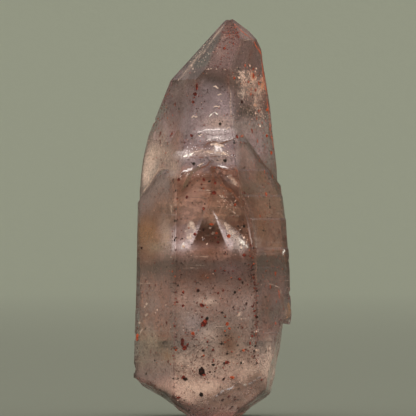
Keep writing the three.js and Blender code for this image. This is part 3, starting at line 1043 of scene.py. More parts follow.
# Each facet is its corners, colour, amount, cover.
TIP_FACE = ((1.2, 60.3), (4.5, 60.3), (2.3, 55.4), (-1.4, 55.4))
TIP_FACETS = (
    (TIP_FACE, "maroon", 0.8, 0.75),
    (TIP_FACE, "smoke", 0.2, 0.75),
    (((4.5, 60.3), (6.6, 60.0), (4.6, 55.6), (2.4, 55.4)), "maroon", 0.8, 0.85),
    (((3.3, 63.0), (6.8, 60.0), (4.6, 60.0)), "blush", 0.7, 0.8),
    (((-7.4, 41.4), (-4.8, 41.6), (-5.0, 38.0), (-6.8, 38.0)), "blush", 0.7, 0.7),
    (((1.4, 61.3), (-0.8, 55.6), (-2.6, 55.2), (-3.6, 56.6)), "moss", 0.85, 0.85),
)

# %% Three shells
SHELLS = (
    # name, inset, lowest, highest, shares of the ground's cover, spots, edges, finish
    (
        "first_growth_shell", 0.45, 0.8, 61.8, (0.15, 0.30),
        SIDE_SPOTS + FOOT_SPOTS, LEDGE_EDGES_AND_SHADE, DOTTED_DUST,
    ),
    (
        "second_growth_shell", 1.1, 1.2, 60.8, (0.5, 0.4),
        TIP_SPOTS_AND_HIGHLIGHTS + SIDE_SPOTS + LOWER_SPOTS, LEDGE_EDGES_AND_SHADE, SPECKLED_DUST,
    ),
    (
        "third_growth_shell", 2.7, 2.4, 57.6, (0.5, 0.4),
        TIP_SPOTS_AND_HIGHLIGHTS + LOWER_SPOTS, (), HAZY_DUST,
    ),
)
CLOUDINESS = 0.13
CLOUD_LENGTH = 12


def share_of_ground(front_share, side_share):
    """The ground with its cover made thinner: one share in front, another on the side faces."""
    def ground(x, height):
        colour, cover = painted_ground(x, height)
        left, right = beyond_arrises(x, height)
        return colour, cover * (front_share + (side_share - front_share) * (left + right))
    return ground


def add_shell(name, inset, low, high, shares, spots, edges, finish):
    """One shell with its dust, its colour made cloudy by slow waves."""
    points = growth_shell(inset, low, high)
    colour, cover = painted(points, share_of_ground(*shares), spots, edges, TIP_FACETS)
    along, _, up = np.moveaxis(points / CLOUD_LENGTH, -1, 0)
    clouds = 1.0 + CLOUDINESS * ripples(along, up, len(name))
    marks = colour * clouds[..., None], cover
    shell = marked_sheet(name, points, grid_faces(SHELL_ROWS, SHELL_TURNS, True), marks, finish)
    shell.visible_shadow = False


for shell_row in SHELLS:
    add_shell(*shell_row)

# %% [markdown]
# ## The phantoms
#
# A phantom is the outline of the crystal as it was when growth stopped for a while. It is a small
# six-sided prism with a pointed top. At each height its distance from its own axis is the least,
# over its six faces, of the face's distance divided by the cosine of the angle to that face.

# %% Phantom shape
FACE_TURNS = np.arange(6) * 60.0
PHANTOM_COLUMNS = 180
FACE_WAVER = 0.10
LEAST_LEAN = 0.2
PHANTOM_MARGIN = 0.5


def phantom_surface(centre, top, slopes, widths, heights):
    """Distance: least over six faces of min(width, drop / slope) / cos(turn), plus slow waves."""
    turn = np.linspace(0.0, 360.0, PHANTOM_COLUMNS, endpoint=False)
    turns, levels = np.meshgrid(turn, heights)
    lean = np.cos(np.radians(turns[..., None] - FACE_TURNS))
    face = np.minimum(widths, (top - levels[..., None]) / slopes)
    reach = np.where(lean > LEAST_LEAN, face / np.clip(lean, LEAST_LEAN, None), np.inf).min(axis=-1)
    reach = reach + FACE_WAVER * ripples(turns / 30.0, levels / 4.0, len(heights))
    across = np.asarray(centre) + outward(turns) * np.clip(reach, LEAST_REACH, None)[..., None]
    points = np.concatenate((across, levels[..., None]), axis=-1)
    return keep_inside(points, PHANTOM_MARGIN), turns, levels


def even_ground(name, *levels):
    """One colour, with its cover set by height."""
    def ground(x, height):
        return np.broadcast_to(np.array(COLOURS[name]), x.shape + (3,)), read_line(levels, height)
    return ground


def add_phantom(name, shape, paint, finish):
    """A phantom's surface, marked by its own paint."""
    points, turns, levels = phantom_surface(*shape)
    faces = grid_faces(len(levels), PHANTOM_COLUMNS, True)
    marked_sheet(name, points, faces, paint(points, turns, levels), finish)


# %% Lower phantom
# Centre, top, slope and width of each face, heights of the rows.
LOWER_SHAPE = (
    (-0.55, -1.0), 33.8,
    np.array([1.30, 1.06, 1.1, 1.3, 1.2, 1.12]),
    np.array([5.68, 5.68, 5.9, 6.0, 5.9, 5.68]),
    np.concatenate((np.linspace(14.0, 24.5, 20), np.linspace(24.6, 33.7, 120))),
)
LOWER_GROUND = even_ground("rose", (14, 0.1), (25.0, 0.2), (26.4, 0.9), (31, 0.85), (33.8, 0.7))
LOWER_PHANTOM_SPOTS = (
    (-4.6, 27.2, 1.3, 1.3, "frost", 0.9, 1.0), (-3.4, 29.6, 1.2, 1.8, "frost", 0.75, 0.8),
    (4.5, 27.7, 1.3, 1.7, "white", 1.0, 1.0), (3.2, 29.4, 1.4, 1.3, "white", 0.9, 1.0),
    (1.2, 31.2, 0.9, 1.4, "white", 0.8, 0.9), (-0.6, 33.2, 0.6, 0.8, "pearl", 0.7, 0.8),
    (-5.8, 31.4, 0.8, 1.4, "tan", 0.5, 0.8), (0.0, 25.6, 4.0, 0.7, "tan", 0.5, 0.6),
)
# Bright rims: turn, spread in degrees, colour, amount.
WINDOW_RIMS = ((34.0, 7.0, "frost", 0.9), (-36.0, 12.0, "frost", 0.6))
RIM_COVER = 0.95
RIM_START = (26.0, 27.5)
WINDOW_TOP = 31.2
WINDOW_FOOT = (25.4, 28.4)
WINDOW_SIDE = 29.0
WINDOW_BLUR = 0.25
WINDOW_WAVER = 0.35
WINDOW_SEED = 17
FLANK_TURN = 84.0
FLANK_FADE = 0.6
FLANK_SPREAD = 18.0


def bell(side, turn, spread):
    """One at a turn, falling off to both sides as exp(-(away / spread)^2)."""
    return np.exp(-(((side - turn) / spread) ** 2))


def window_share(side, turns, levels):
    """One inside the window: the front face, from a soft foot up to a ragged flat top."""
    ragged = levels + WINDOW_WAVER * ripples(turns / 25.0, levels / 4.0, WINDOW_SEED)
    below_top = rise(WINDOW_TOP - ragged, -WINDOW_BLUR, WINDOW_BLUR)
    return below_top * rise(ragged, *WINDOW_FOOT) * (np.abs(side) < WINDOW_SIDE)


def lower_paint(points, turns, levels):
    """Whitish flanks, and a dark brown window in the front face, cut off flat below the tip."""
    colour, cover = painted(points, LOWER_GROUND, LOWER_PHANTOM_SPOTS)
    side = (turns + 180.0) % 360.0 - 180.0
    for turn, spread, shade, amount in WINDOW_RIMS:
        rim = amount * bell(side, turn, spread) * rise(levels, *RIM_START)
        colour, cover = lay_over(colour, cover, rim, shade, RIM_COVER)
    colour, cover = lay_over(colour, cover, window_share(side, turns, levels), "bark", 1.0)
    return colour, cover * (1.0 - FLANK_FADE * bell(side, FLANK_TURN, FLANK_SPREAD))


add_phantom("lower_phantom", LOWER_SHAPE, lower_paint, SPECKLED_DUST)

# %% Upper phantom
# A brown cap, darkest along its upper edge, that thins out towards its foot.
UPPER_SHAPE = (
    (0.1, -1.6), 40.5,
    np.array([1.1, 1.15, 1.1, 1.27, 1.0, 0.85]),
    np.array([6.3, 7.2, 7.4, 8.0, 8.2, 7.6]),
    np.linspace(20.0, 40.4, 150),
)
UPPER_GROUND = even_ground(
    "tan", (20, 0.0), (28, 0.0), (30, 0.12), (32, 0.38), (34, 0.62), (36.5, 0.88), (40.5, 0.95)
)
CAP_SPOTS = (
    (0.1, 38.9, 2.6, 1.2, "bark", 0.9, 0.98), (-2.6, 35.6, 1.5, 1.4, "rose", 0.5, 0.8),
    (3.4, 34.7, 1.7, 1.8, "bark", 0.85, 0.98), (-4.6, 36.0, 1.0, 1.2, "brown", 0.6, 0.8),
    (0.2, 36.4, 0.6, 3.0, "bark", 0.7, 0.95), (-1.8, 33.4, 1.2, 0.8, "rose", 0.6, 0.7),
    (4.4, 36.0, 0.9, 1.0, "umber", 0.6, 0.95), (3.6, 35.0, 1.6, 1.6, "smoke", 0.35, 0.98),
    (-0.2, 36.8, 2.4, 2.4, "cocoa", 0.22, 0.95), (0.1, 39.8, 1.2, 0.8, "smoke", 0.4, 0.95),
    (2.8, 37.9, 1.3, 0.9, "slate", 0.9, 0.95), (-3.9, 32.4, 2.0, 1.6, "rose", 0.7, 0.8),
    (-4.0, 35.0, 1.0, 1.4, "rose", 0.5, 0.85),
)
CAP_ROOF = (
    (-4.9, 36.2), (-3.3, 38.9), (-1.4, 40.5), (0.0, 40.6), (1.0, 39.2), (2.0, 37.6), (4.0, 35.6),
    (5.5, 33.6),
)
CAP_EDGES = ((CAP_ROOF, 1.3, "bark", 0.9, 0.98),)


def upper_paint(points, turns, levels):
    """The cap's ground with its spots and its roof line."""
    return painted(points, UPPER_GROUND, CAP_SPOTS, CAP_EDGES)


add_phantom("upper_phantom", UPPER_SHAPE, upper_paint, HAZY_DUST)

# %% Oldest core
# A milky brown core behind both phantoms, which gives them a ground to stand out against.
CORE_SHAPE = (
    (-0.4, 3.6), 45.0,
    np.full(6, 1.3),
    np.array([4.4, 7.5, 7.5, 6.0, 7.8, 8.0]),
    np.linspace(12.0, 44.9, 100),
)
CORE_GROUND = even_ground("tan", (12, 0.5), (22, 0.9), (40, 0.9), (45, 0.5))
CORE_SPOTS = (
    (-4.4, 32.4, 1.4, 2.2, "rose", 0.8, 0.9), (-4.0, 29.8, 2.0, 2.4, "frost", 0.7, 0.95),
    (4.6, 31.8, 1.4, 2.0, "brown", 0.7, 0.9), (0.0, 42.0, 4.0, 1.6, "rose", 0.8, 0.9),
    (-3.6, 39.0, 1.6, 1.0, "pearl", 0.6, 0.9), (2.4, 33.6, 1.4, 1.2, "brown", 0.6, 0.9),
    (2.8, 41.0, 1.2, 1.2, "pearl", 0.5, 0.9),
)


def core_paint(points, turns, levels):
    """The core's ground with its spots."""
    return painted(points, CORE_GROUND, CORE_SPOTS)


add_phantom("oldest_core", CORE_SHAPE, core_paint, HAZY_DUST)

# %% [markdown]
# ## Golden veils
#
# A veil is a healed crack, or a place where dust fell thickly: a small, curved, crumbly sheet. The
# golden one behind the upper right face is made of two, one behind the other, so that it has
# depth. Each is a patch of a grid, laid out by x and height as it is seen, at some depth under the
# skin, and rippled by a few sine waves that cross.

# %% Front veils
VEIL_ROWS = 90
VEIL_COLUMNS = 70
VEIL_MARGIN = 0.06
GOLD_SPOTS = (
    (4.7, 54.4, 1.3, 1.3, "gold", 1.0, 0.36), (6.2, 53.4, 1.1, 1.6, "gold", 1.0, 0.34),
    (7.0, 51.0, 0.9, 2.2, "gold", 1.0, 0.34), (7.5, 48.6, 0.7, 1.6, "gold", 0.9, 0.32),
    (4.6, 51.6, 1.2, 1.6, "pearl", 0.9, 0.36), (6.4, 54.4, 0.6, 0.9, "amber", 0.9, 0.85),
    (7.9, 53.0, 0.5, 1.6, "amber", 0.9, 0.7), (6.6, 49.6, 0.5, 0.5, "amber", 0.7, 0.6),
    (4.4, 53.2, 0.8, 0.4, "amber", 0.6, 0.55), (5.6, 52.2, 0.5, 0.7, "amber", 0.5, 0.5),
)
FRONT_VEILS = (
    # name, x, heights, depth, ripple, seed, spots
    ("golden_veil", (3.0, 8.9), (46.6, 56.6), 0.25, 0.3, 1160, GOLD_SPOTS),
    ("golden_depth", (3.2, 8.9), (46.8, 56.4), 0.8, 0.4, 1261, GOLD_SPOTS[:5]),
)
BARE_GROUND = even_ground("gold", (0, 0.0), (63, 0.0))


def add_front_veil(name, x_range, height_range, depth, ripple, seed, spots):
    """A patch by x and height behind the front skin, its cover made by spots alone."""
    u, v = np.meshgrid(np.linspace(-1, 1, VEIL_COLUMNS), np.linspace(-1, 1, VEIL_ROWS))
    inset = depth + ripple * (1 + ripples(u, v, seed)) / 2
    x = between_two(*x_range, (u + 1) / 2)
    height = between_two(*height_range, (v + 1) / 2)
    points = keep_inside(under_front(x, height, inset), VEIL_MARGIN)
    marks = lay_spots(x, height, *BARE_GROUND(x, height), spots)
    marked_sheet(name, points, grid_faces(VEIL_ROWS, VEIL_COLUMNS, False), marks, CRUMBLY_DUST)


for veil_row in FRONT_VEILS:
    add_front_veil(*veil_row)

# %% [markdown]
# ## Streaks
#
# Many of the lines in the stone are thin and long: painted highlights on the rims of the growth
# steps and painted shade under them, rust that crept along an arris, edges of the phantoms, and the
# lip of the broken foot. Each is a narrow ribbon carried along a path that is given by x and height,
# just under the skin, widest in its middle. Pale and dark ones are ragged from the dust's grain;
# rusty and soft ones are a smoother film, and most of the soft ones are broad glows. Growth lines
# are short and level, and are strewn all round by a seeded draw.

# %% Ribbons
RIBBON_STEPS = 40
RIBBON_COLUMNS = 7
RIBBON_MARGIN = 0.05
WANDER = 0.10
NEAR_ENDS = (0.02, 0.98)


def smooth_path(path):
    """Evenly spaced places along the path, and the direction across it at each."""
    corners = np.array(path)
    lengths = np.concatenate(([0.0], np.cumsum(np.hypot(*np.diff(corners, axis=0).T))))
    along = np.linspace(0.0, lengths[-1], RIBBON_STEPS)
    places = np.stack([np.interp(along, lengths, corners[:, axis]) for axis in (0, 1)], axis=-1)
    padded = np.pad(places, ((1, 1), (0, 0)), mode="edge")
    places = (padded[:-2] + 2 * padded[1:-1] + padded[2:]) / 4
    heading = np.gradient(places, axis=0)
    heading /= np.hypot(*heading.T)[:, None]
    return places, np.stack((-heading[:, 1], heading[:, 0]), axis=-1)


def tapered(s, power):
    """sin(pi s) to a power, s held off both ends: one in the middle, a third or less at the ends."""
    return np.sin(np.pi * np.clip(s, *NEAR_ENDS)) ** power


def ribbon(path, width, name, most, depth, seed):
    """Path plus across times v times half the width; the width falls to a third at both ends."""
    places, across = smooth_path(path)
    s = np.linspace(0.0, 1.0, RIBBON_STEPS)
    v = np.linspace(-1.0, 1.0, RIBBON_COLUMNS)
    wander = ripples(s * 6, s * 0, seed, 3.0) * min(WANDER, width / 2)
    offset = wander[:, None] + v * (tapered(s, 0.4) * width / 2)[:, None]
    flat = places[:, None] + across[:, None] * offset[..., None]
    under = under_front(flat[..., 0], flat[..., 1], np.full(offset.shape, depth))
    points = keep_inside(under, RIBBON_MARGIN)
    colour = np.broadcast_to(np.array(COLOURS[name]), points.shape)
    return points, colour, most * (1 - v**2) * np.ones_like(offset)


def streaks_piece(name, table, depth, finish):
    """All ribbons of a table as one marked mesh."""
    parts = [ribbon(*row, depth, seed) for seed, row in enumerate(table)]
    points, colour, cover = (np.concatenate(column) for column in zip(*parts))
    one = grid_faces(RIBBON_STEPS, RIBBON_COLUMNS, False)
    faces = repeated_faces(one, len(table), RIBBON_STEPS * RIBBON_COLUMNS)
    marked_sheet(name, points, faces, (colour, cover), finish)


# %% Pale streaks and painted highlights
# Each is a path of x and height, width in mm, colour, cover. Most are painted highlights: glints on
# the rims of the growth steps, on the upper front face and in the lower phantom's window; the rest
# are pale tones.
PALE_STREAKS_AND_HIGHLIGHTS = (
    (((-2.5, 45.4), (-0.8, 45.6), (1.0, 45.8), (2.2, 45.7)), 0.24, "frost", 0.9),
    (((2.0, 45.6), (2.6, 46.1), (3.1, 45.8)), 0.2, "pearl", 0.6),
    (((-2.6, 44.8), (-1.6, 44.9)), 0.22, "pearl", 0.5),
    (((-1.0, 44.0), (0.4, 44.4), (1.6, 44.3)), 0.28, "frost", 0.85),
    (((0.8, 44.2), (2.0, 43.9), (3.2, 44.4)), 0.22, "frost", 0.7),
    (((0.6, 43.4), (0.7, 42.3)), 0.7, "frost", 0.8),
    (((1.0, 43.0), (1.5, 42.2)), 0.5, "frost", 0.6),
    (((-4.7, 41.3), (-4.0, 41.6), (-3.0, 42.1)), 0.42, "white", 0.85),
    (((-5.7, 41.8), (-4.7, 41.5)), 0.24, "frost", 0.6),
    (((-3.2, 42.1), (-1.6, 42.5)), 0.24, "bloom", 0.6),
    (((1.4, 42.2), (2.6, 41.6)), 0.24, "pearl", 0.6),
    (((-4.8, 39.0), (-4.0, 39.2), (-3.2, 39.7)), 0.42, "frost", 0.8),
    (((-2.3, 40.0), (-1.4, 40.5)), 0.36, "bloom", 0.7),
    (((0.8, 40.1), (1.8, 39.8), (2.6, 39.6)), 0.36, "frost", 0.8),
    (((0.1, 52.7), (1.0, 52.3)), 0.28, "pearl", 0.9),
    (((0.7, 51.2), (1.5, 51.3)), 0.24, "pearl", 0.9),
    (((0.8, 50.3), (1.5, 50.3)), 0.24, "pearl", 0.8),
    (((0.1, 49.3), (1.3, 49.5)), 0.28, "pearl", 0.8),
    (((-0.6, 47.8), (-0.2, 48.2), (0.4, 48.4), (1.0, 48.2), (1.4, 47.8)), 0.28, "white", 0.7),
    (((-3.4, 47.6), (-2.3, 47.9)), 0.28, "pearl", 0.8),
    (((-1.2, 55.3), (0.6, 55.4), (2.2, 55.3)), 0.24, "pearl", 0.3),
    (((4.6, 60.0), (6.4, 60.1)), 0.2, "bloom", 0.4),
    (((-3.8, 55.9), (-2.8, 54.8)), 0.4, "pearl", 0.6),
    (((-9.8, 42.6), (-9.4, 41.6)), 0.5, "pearl", 0.8),
    (((-10.9, 17.4), (-10.2, 18.0)), 0.7, "pearl", 0.6),
    (((-10.7, 16.0), (-10.3, 16.5)), 0.5, "bloom", 0.7),
    (((-11.9, 14.7), (-11.6, 15.1)), 0.4, "pearl", 0.7),
    (((-11.5, 13.2), (-11.2, 14.0)), 0.45, "bloom", 0.8),
    (((4.1, 15.6), (4.2, 16.4), (4.7, 17.0)), 0.7, "bloom", 0.7),
    (((11.2, 25.8), (11.4, 26.6)), 0.4, "white", 0.8),
    (((0.1, 3.6), (2.0, 4.5), (3.6, 5.2)), 0.4, "frost", 0.9),
    (((4.9, 5.2), (5.5, 5.4)), 0.45, "white", 0.9),
    (((5.6, 5.4), (6.6, 6.0), (7.9, 6.6)), 0.36, "frost", 0.8),
    (((-1.6, 28.2), (-1.2, 28.7)), 0.28, "frost", 0.7),
    (((-0.2, 29.2), (0.3, 29.4)), 0.22, "bloom", 0.5),
    (((-0.6, 30.2), (-0.1, 30.1)), 0.22, "bloom", 0.5),
    (((2.3, 33.2), (3.4, 32.6), (4.2, 31.8)), 0.3, "bloom", 0.5),
    (((0.9, 35.4), (1.8, 34.8)), 0.28, "bloom", 0.6),
    (((-6.6, 34.0), (-6.4, 32.4)), 0.4, "bloom", 0.5),
)

# %% Soft streaks: painted glows and glints on arrises, ledges and the tip, painted shade under the ledges, and the stone's own lines
SOFT_STREAKS_GLINTS_AND_SHADE = (
    (((2.6, 53.4), (2.8, 50.0), (3.0, 46.6)), 0.2, "bloom", 0.5),
    (((1.8, 62.6), (0.4, 60.8), (-1.0, 59.0)), 0.45, "bloom", 0.6),
    (((-0.2, 59.7), (-2.8, 56.7), (-5.6, 53.5)), 0.9, "bloom", 0.5),
    (((-11.4, 35.4), (-10.0, 37.3), (-8.6, 39.4), (-7.4, 39.6)), 0.4, "bloom", 0.7),
    (((-6.8, 42.0), (-7.6, 41.0), (-6.9, 38.4)), 0.3, "bloom", 0.6),
    (((8.6, 21.6), (10.6, 20.6), (11.4, 18.6)), 0.24, "bloom", 0.5),
    (((-1.4, 42.2), (1.2, 42.0), (2.9, 41.6)), 0.9, "bloom", 0.5),
    (((-0.4, 43.3), (1.8, 43.2)), 0.8, "pearl", 0.6),
    (LEFT_LEDGE[:3], 0.26, "russet", 0.5),
    (RIGHT_LEDGE, 0.22, "umber", 0.6),
    (((1.3, 60.9), (-0.6, 58.6), (-2.4, 56.6)), 0.9, "smoke", 0.8),
    (((-4.6, 47.0), (-4.7, 42.0)), 0.24, "umber", 0.4),
    (((-6.0, 38.0), (-6.0, 20.0)), 0.22, "umber", 0.35),
    (((4.2, 36.0), (5.2, 32.0), (6.1, 26.0)), 0.22, "umber", 0.4),
    (((0.2, 39.6), (-0.1, 36.0), (-0.7, 33.0)), 0.7, "umber", 0.45),
    (((-4.9, 36.0), (-3.4, 38.5), (-1.6, 40.1)), 0.9, "cocoa", 0.7),
    (((0.3, 39.2), (1.5, 37.1), (3.6, 35.2), (5.2, 33.4)), 0.8, "umber", 0.6),
    (((1.7, 39.2), (2.7, 38.1), (4.4, 36.6)), 1.3, "bloom", 0.35),
    (((-0.4, 40.6), (0.0, 39.6), (0.4, 38.4)), 1.5, "bark", 0.65),
    (((4.9, 35.0), (5.9, 32.2), (6.7, 26.9)), 1.1, "russet", 0.85),
    (((-0.5, 33.7), (0.5, 31.9), (1.5, 29.7), (2.4, 27.4)), 0.44, "frost", 0.28),
    (((-1.6, 31.5), (-2.5, 29.5), (-3.6, 27.4)), 0.8, "frost", 0.16),
    (((-3.6, 31.2), (-3.4, 29.8), (-3.8, 28.2)), 1.9, "pearl", 0.5),
    (((4.0, 28.6), (4.9, 27.7), (5.6, 27.0)), 0.9, "white", 0.5),
    (((-5.0, 26.8), (-4.3, 27.8)), 0.8, "white", 0.3),
    (((1.7, 31.1), (2.9, 29.5), (4.3, 28.0)), 1.5, "pearl", 0.38),
)

# %% Dark and rusty streaks; the first five dark ones, under the rims of the growth steps, are painted shade
DARK_STREAKS_AND_LEDGE_SHADE = (
    (((-1.4, 42.9), (-0.9, 43.5), (0.6, 43.7), (1.0, 43.4), (2.6, 44.0), (3.8, 44.4)), 0.32, "umber", 0.95),
    (((-4.7, 41.3), (-2.0, 41.2), (0.6, 41.4), (3.0, 41.2)), 0.26, "umber", 0.5),
    (((-2.2, 39.4), (-0.8, 40.2), (-0.2, 40.8)), 0.28, "umber", 0.7),
    (((0.4, 40.0), (1.8, 39.3), (2.8, 39.1)), 0.32, "umber", 0.8),
    (((-6.8, 37.4), (-7.0, 38.8), (-8.0, 39.3)), 0.26, "umber", 0.6),
    (((-2.5, 53.8), (-2.8, 51.6)), 0.34, "russet", 0.6),
    (((-6.0, 20.0), (-6.1, 2.0)), 0.24, "maroon", 0.5),
    (((6.4, 25.6), (6.8, 18.0), (6.9, 9.0)), 0.24, "umber", 0.4),
)
RUST_STREAKS = (
    (((6.6, 60.0), (7.8, 57.8), (8.3, 54.0), (8.7, 51.2)), 0.52, "rust", 0.95),
    (((3.3, 62.8), (4.8, 61.4), (6.6, 60.0)), 0.3, "rust", 0.6),
    (((8.7, 51.0), (9.3, 46.0), (10.4, 40.0)), 0.34, "rust", 0.7),
    (((4.4, 44.6), (4.9, 44.8)), 0.4, "rust", 1.0),
    (((-12.1, 12.0), (-11.9, 13.2)), 0.5, "rust", 1.0),
    (((11.7, 15.2), (12.3, 16.8), (12.2, 18.2)), 0.9, "brown", 1.0),
    (((10.5, 20.4), (10.6, 18.8)), 0.3, "rust", 0.7),
    (((6.6, 26.4), (6.9, 24.0), (7.0, 21.0)), 0.4, "russet", 0.7),
)

# %% Growth lines
LINE_COUNT = 320
LINE_STEPS = 16
LINE_COLUMNS = 3
LINE_DEPTH = 0.16
LINE_MARGIN = 0.06
LINE_SEED = 8
# Lowest and highest draw of the first turn, span in degrees, height, half width and cover.
LINE_RANGES = ((0, 360), (6, 28), (5, 46), (0.04, 0.11), (0.25, 0.6))
LINE_SHADES = ("bloom", "smoke", "heather", "pearl")
LINE_WAVE = 0.06
LINE_WAVE_TURN = 7.0


def growth_lines():
    """Level lines over short spans of turn; height is the line's own plus v times half its width."""
    draw = np.random.default_rng(LINE_SEED)
    start, span, middle, half, most = (
        draw.uniform(low, high, (LINE_COUNT, 1, 1)) for low, high in LINE_RANGES
    )
    s = np.linspace(0.0, 1.0, LINE_STEPS)[:, None]
    v = np.linspace(-1.0, 1.0, LINE_COLUMNS)
    taper = tapered(s, 0.5)
    turns = start + span * s + 0.0 * v
    heights = middle + half * taper * v + LINE_WAVE * np.sin(turns / LINE_WAVE_TURN)
    points = round_axis(turns, skin_at(turns, heights) - LINE_DEPTH, heights)
    points = keep_inside(points, LINE_MARGIN)
    shades = np.array([COLOURS[name] for name in LINE_SHADES])
    shades = shades[draw.integers(0, len(LINE_SHADES), LINE_COUNT)]
    colour = np.broadcast_to(shades[:, None, None], points.shape)
    one = grid_faces(LINE_STEPS, LINE_COLUMNS, False)
    faces = repeated_faces(one, LINE_COUNT, LINE_STEPS * LINE_COLUMNS)
    marked_sheet("growth_lines", points, faces, (colour, most * taper * (1.0 - v**2)), THIN_FILM)


growth_lines()
# The pale streaks are mostly painted highlights.
streaks_piece("pale_streaks_and_highlights", PALE_STREAKS_AND_HIGHLIGHTS, 0.16, RAGGED_STREAK)
# Among the dark streaks, those under the ledges are painted shade.
streaks_piece("dark_streaks_and_ledge_shade", DARK_STREAKS_AND_LEDGE_SHADE, 0.22, RAGGED_STREAK)
streaks_piece("rust_streaks", RUST_STREAKS, 0.12, THIN_FILM)
# Among the soft streaks are painted glows and glints, and painted shade under the ledges.
streaks_piece("soft_streaks_glints_and_shade", SOFT_STREAKS_GLINTS_AND_SHADE, 0.19, THIN_FILM)

# %% [markdown]
# ## Specks
#
# The specks are tiny crystals and flakes of iron oxide: black where they are thick, dark red where
# thin, orange where they have rusted. Pale crumbs of dust lie among them. The large ones are placed
# one by one a little way behind the front faces. Thousands of small ones are strewn by seeded
# draws: some all round, most of them low in the crystal, some in rows along the arrises, and some
# in crowds where the stone is peppered. A speck is a lumpy ball of 23 faces.

# %% Speck shapes
SPECK_ROUND = 7
SPECK_RINGS = 4
POLE_GAP = 0.12
LUMPS = (0.72, 1.28)


def speck_ball():
    """A coarse ball of radius one: rings of points from pole to pole."""
    turn = np.linspace(0.0, 2 * math.pi, SPECK_ROUND, endpoint=False)
    tilt = np.linspace(POLE_GAP, math.pi - POLE_GAP, SPECK_RINGS)
    turns, tilts = np.meshgrid(turn, tilt)
    x = np.cos(turns) * np.sin(tilts)
    y = -np.sin(turns) * np.sin(tilts)
    return np.stack((x, y, -np.cos(tilts)), axis=-1).reshape(-1, 3)


def speck_faces():
    """The ball's side faces, and one small face that closes it at each pole."""
    low = np.arange(SPECK_ROUND)[None]
    high = low + (SPECK_RINGS - 1) * SPECK_ROUND
    return grid_faces(SPECK_RINGS, SPECK_ROUND, True), low[:, ::-1], high


def strew(places, sizes, turns, seed):
    """Copies of the ball, each with its own sizes, turn and lumps, as one array of points."""
    draw = np.random.default_rng(seed)
    ball = speck_ball()
    shaped = ball[None] * draw.uniform(*LUMPS, (len(places), len(ball), 1)) * sizes[:, None, :]
    angle = np.radians(turns)[:, None]
    x = shaped[..., 0] * np.cos(angle) + shaped[..., 2] * np.sin(angle)
    z = shaped[..., 2] * np.cos(angle) - shaped[..., 0] * np.sin(angle)
    return np.stack((x, shaped[..., 1], z), axis=-1) + places[:, None, :]


def speck_piece(name, places, sizes, turns, seed, material):
    """All specks of one kind as one mesh."""
    points = strew(places, sizes, turns, seed)
    each = SPECK_ROUND * SPECK_RINGS
    groups = [repeated_faces(faces, len(places), each) for faces in speck_faces()]
    piece_inside(name, points, material, *groups, smooth=False)
    print(name, len(places), "specks")


# %% Speck finishes
FLAKE_SIZE = 0.3
FLAKE_TONES = (0.45, 0.7)
FLAKE_DEPTH = 0.00004


def speck_finish(name, dark, light, roughness):
    """Two tones of iron oxide in tiny flakes."""
    material, tree, output = new_material(name)
    tone = soft_step(tree, grain(tree, FLAKE_SIZE), *FLAKE_TONES)
    flakes = add_node(tree, "ShaderNodeBump", {"Height": tone, "Distance": FLAKE_DEPTH})
    sockets = {
        "Base Color": mix_colours(tree, tone, dark, light),
        "Roughness": roughness,
        "Specular IOR Level": 0.06,
        "Normal": flakes.outputs[0],
    }
    coat(tree, output, sockets)
    return material


BLACK_OXIDE = speck_finish("black_oxide", (0.001, 0.0005, 0.0005, 1), (0.05, 0.005, 0.003, 1), 0.5)
RED_OXIDE = speck_finish("red_oxide", (0.055, 0.006, 0.004, 1), (0.30, 0.036, 0.018, 1), 0.5)
ORANGE_RUST = speck_finish("orange_rust", (0.22, 0.03, 0.01, 1), (0.50, 0.10, 0.035, 1), 0.6)
PALE_CRUMBS = speck_finish("pale_crumbs", (0.55, 0.36, 0.26, 1), (0.95, 0.78, 0.64, 1), 0.7)

# %% Large specks
# Each is x, height, width, length and turn: millimetres and degrees, as seen from the front.
BLACK_SPECKS = (
    (-0.9, 15.7, 0.56, 0.56, 35), (-4.8, 12.3, 0.4, 0.56, -15), (-1.7, 7.4, 0.96, 1.3, 0),
    (-4.4, 6.2, 0.8, 0.48, 0), (-1.8, 3.7, 0.8, 0.64, -20), (-2.3, 20.2, 0.64, 0.48, 0),
    (1.5, 16.7, 0.48, 0.32, 0), (-1.5, 10.7, 0.4, 0.32, 0), (2.3, 10.2, 0.48, 0.32, 0),
    (0.1, 8.4, 0.56, 0.32, 0), (4.2, 4.8, 0.4, 0.4, 0), (1.4, 3.0, 0.4, 0.48, 20),
    (3.0, 1.8, 0.4, 0.32, 0), (-4.2, 1.4, 0.4, 0.32, 0), (5.4, 18.1, 0.32, 0.48, 20),
    (6.8, 11.4, 0.32, 0.32, 0), (1.2, 46.6, 0.48, 0.48, 0), (2.0, 40.8, 0.64, 0.48, 20),
    (-3.0, 40.3, 0.48, 0.48, 0), (9.2, 33.4, 0.4, 0.48, 0), (5.0, 30.4, 0.4, 0.48, 0),
    (-1.5, 29.8, 0.4, 0.48, 0), (-11.3, 26.9, 0.48, 0.4, 0), (-6.0, 28.2, 0.4, 0.48, 0),
    (4.1, 30.4, 0.32, 0.32, 0), (3.4, 43.7, 0.32, 0.32, 0), (0.1, 20.6, 0.32, 0.32, 0),
    (4.6, 50.2, 0.64, 0.48, 30), (6.6, 10.6, 0.32, 0.32, 0), (-5.5, 21.0, 0.32, 0.32, 0),
)
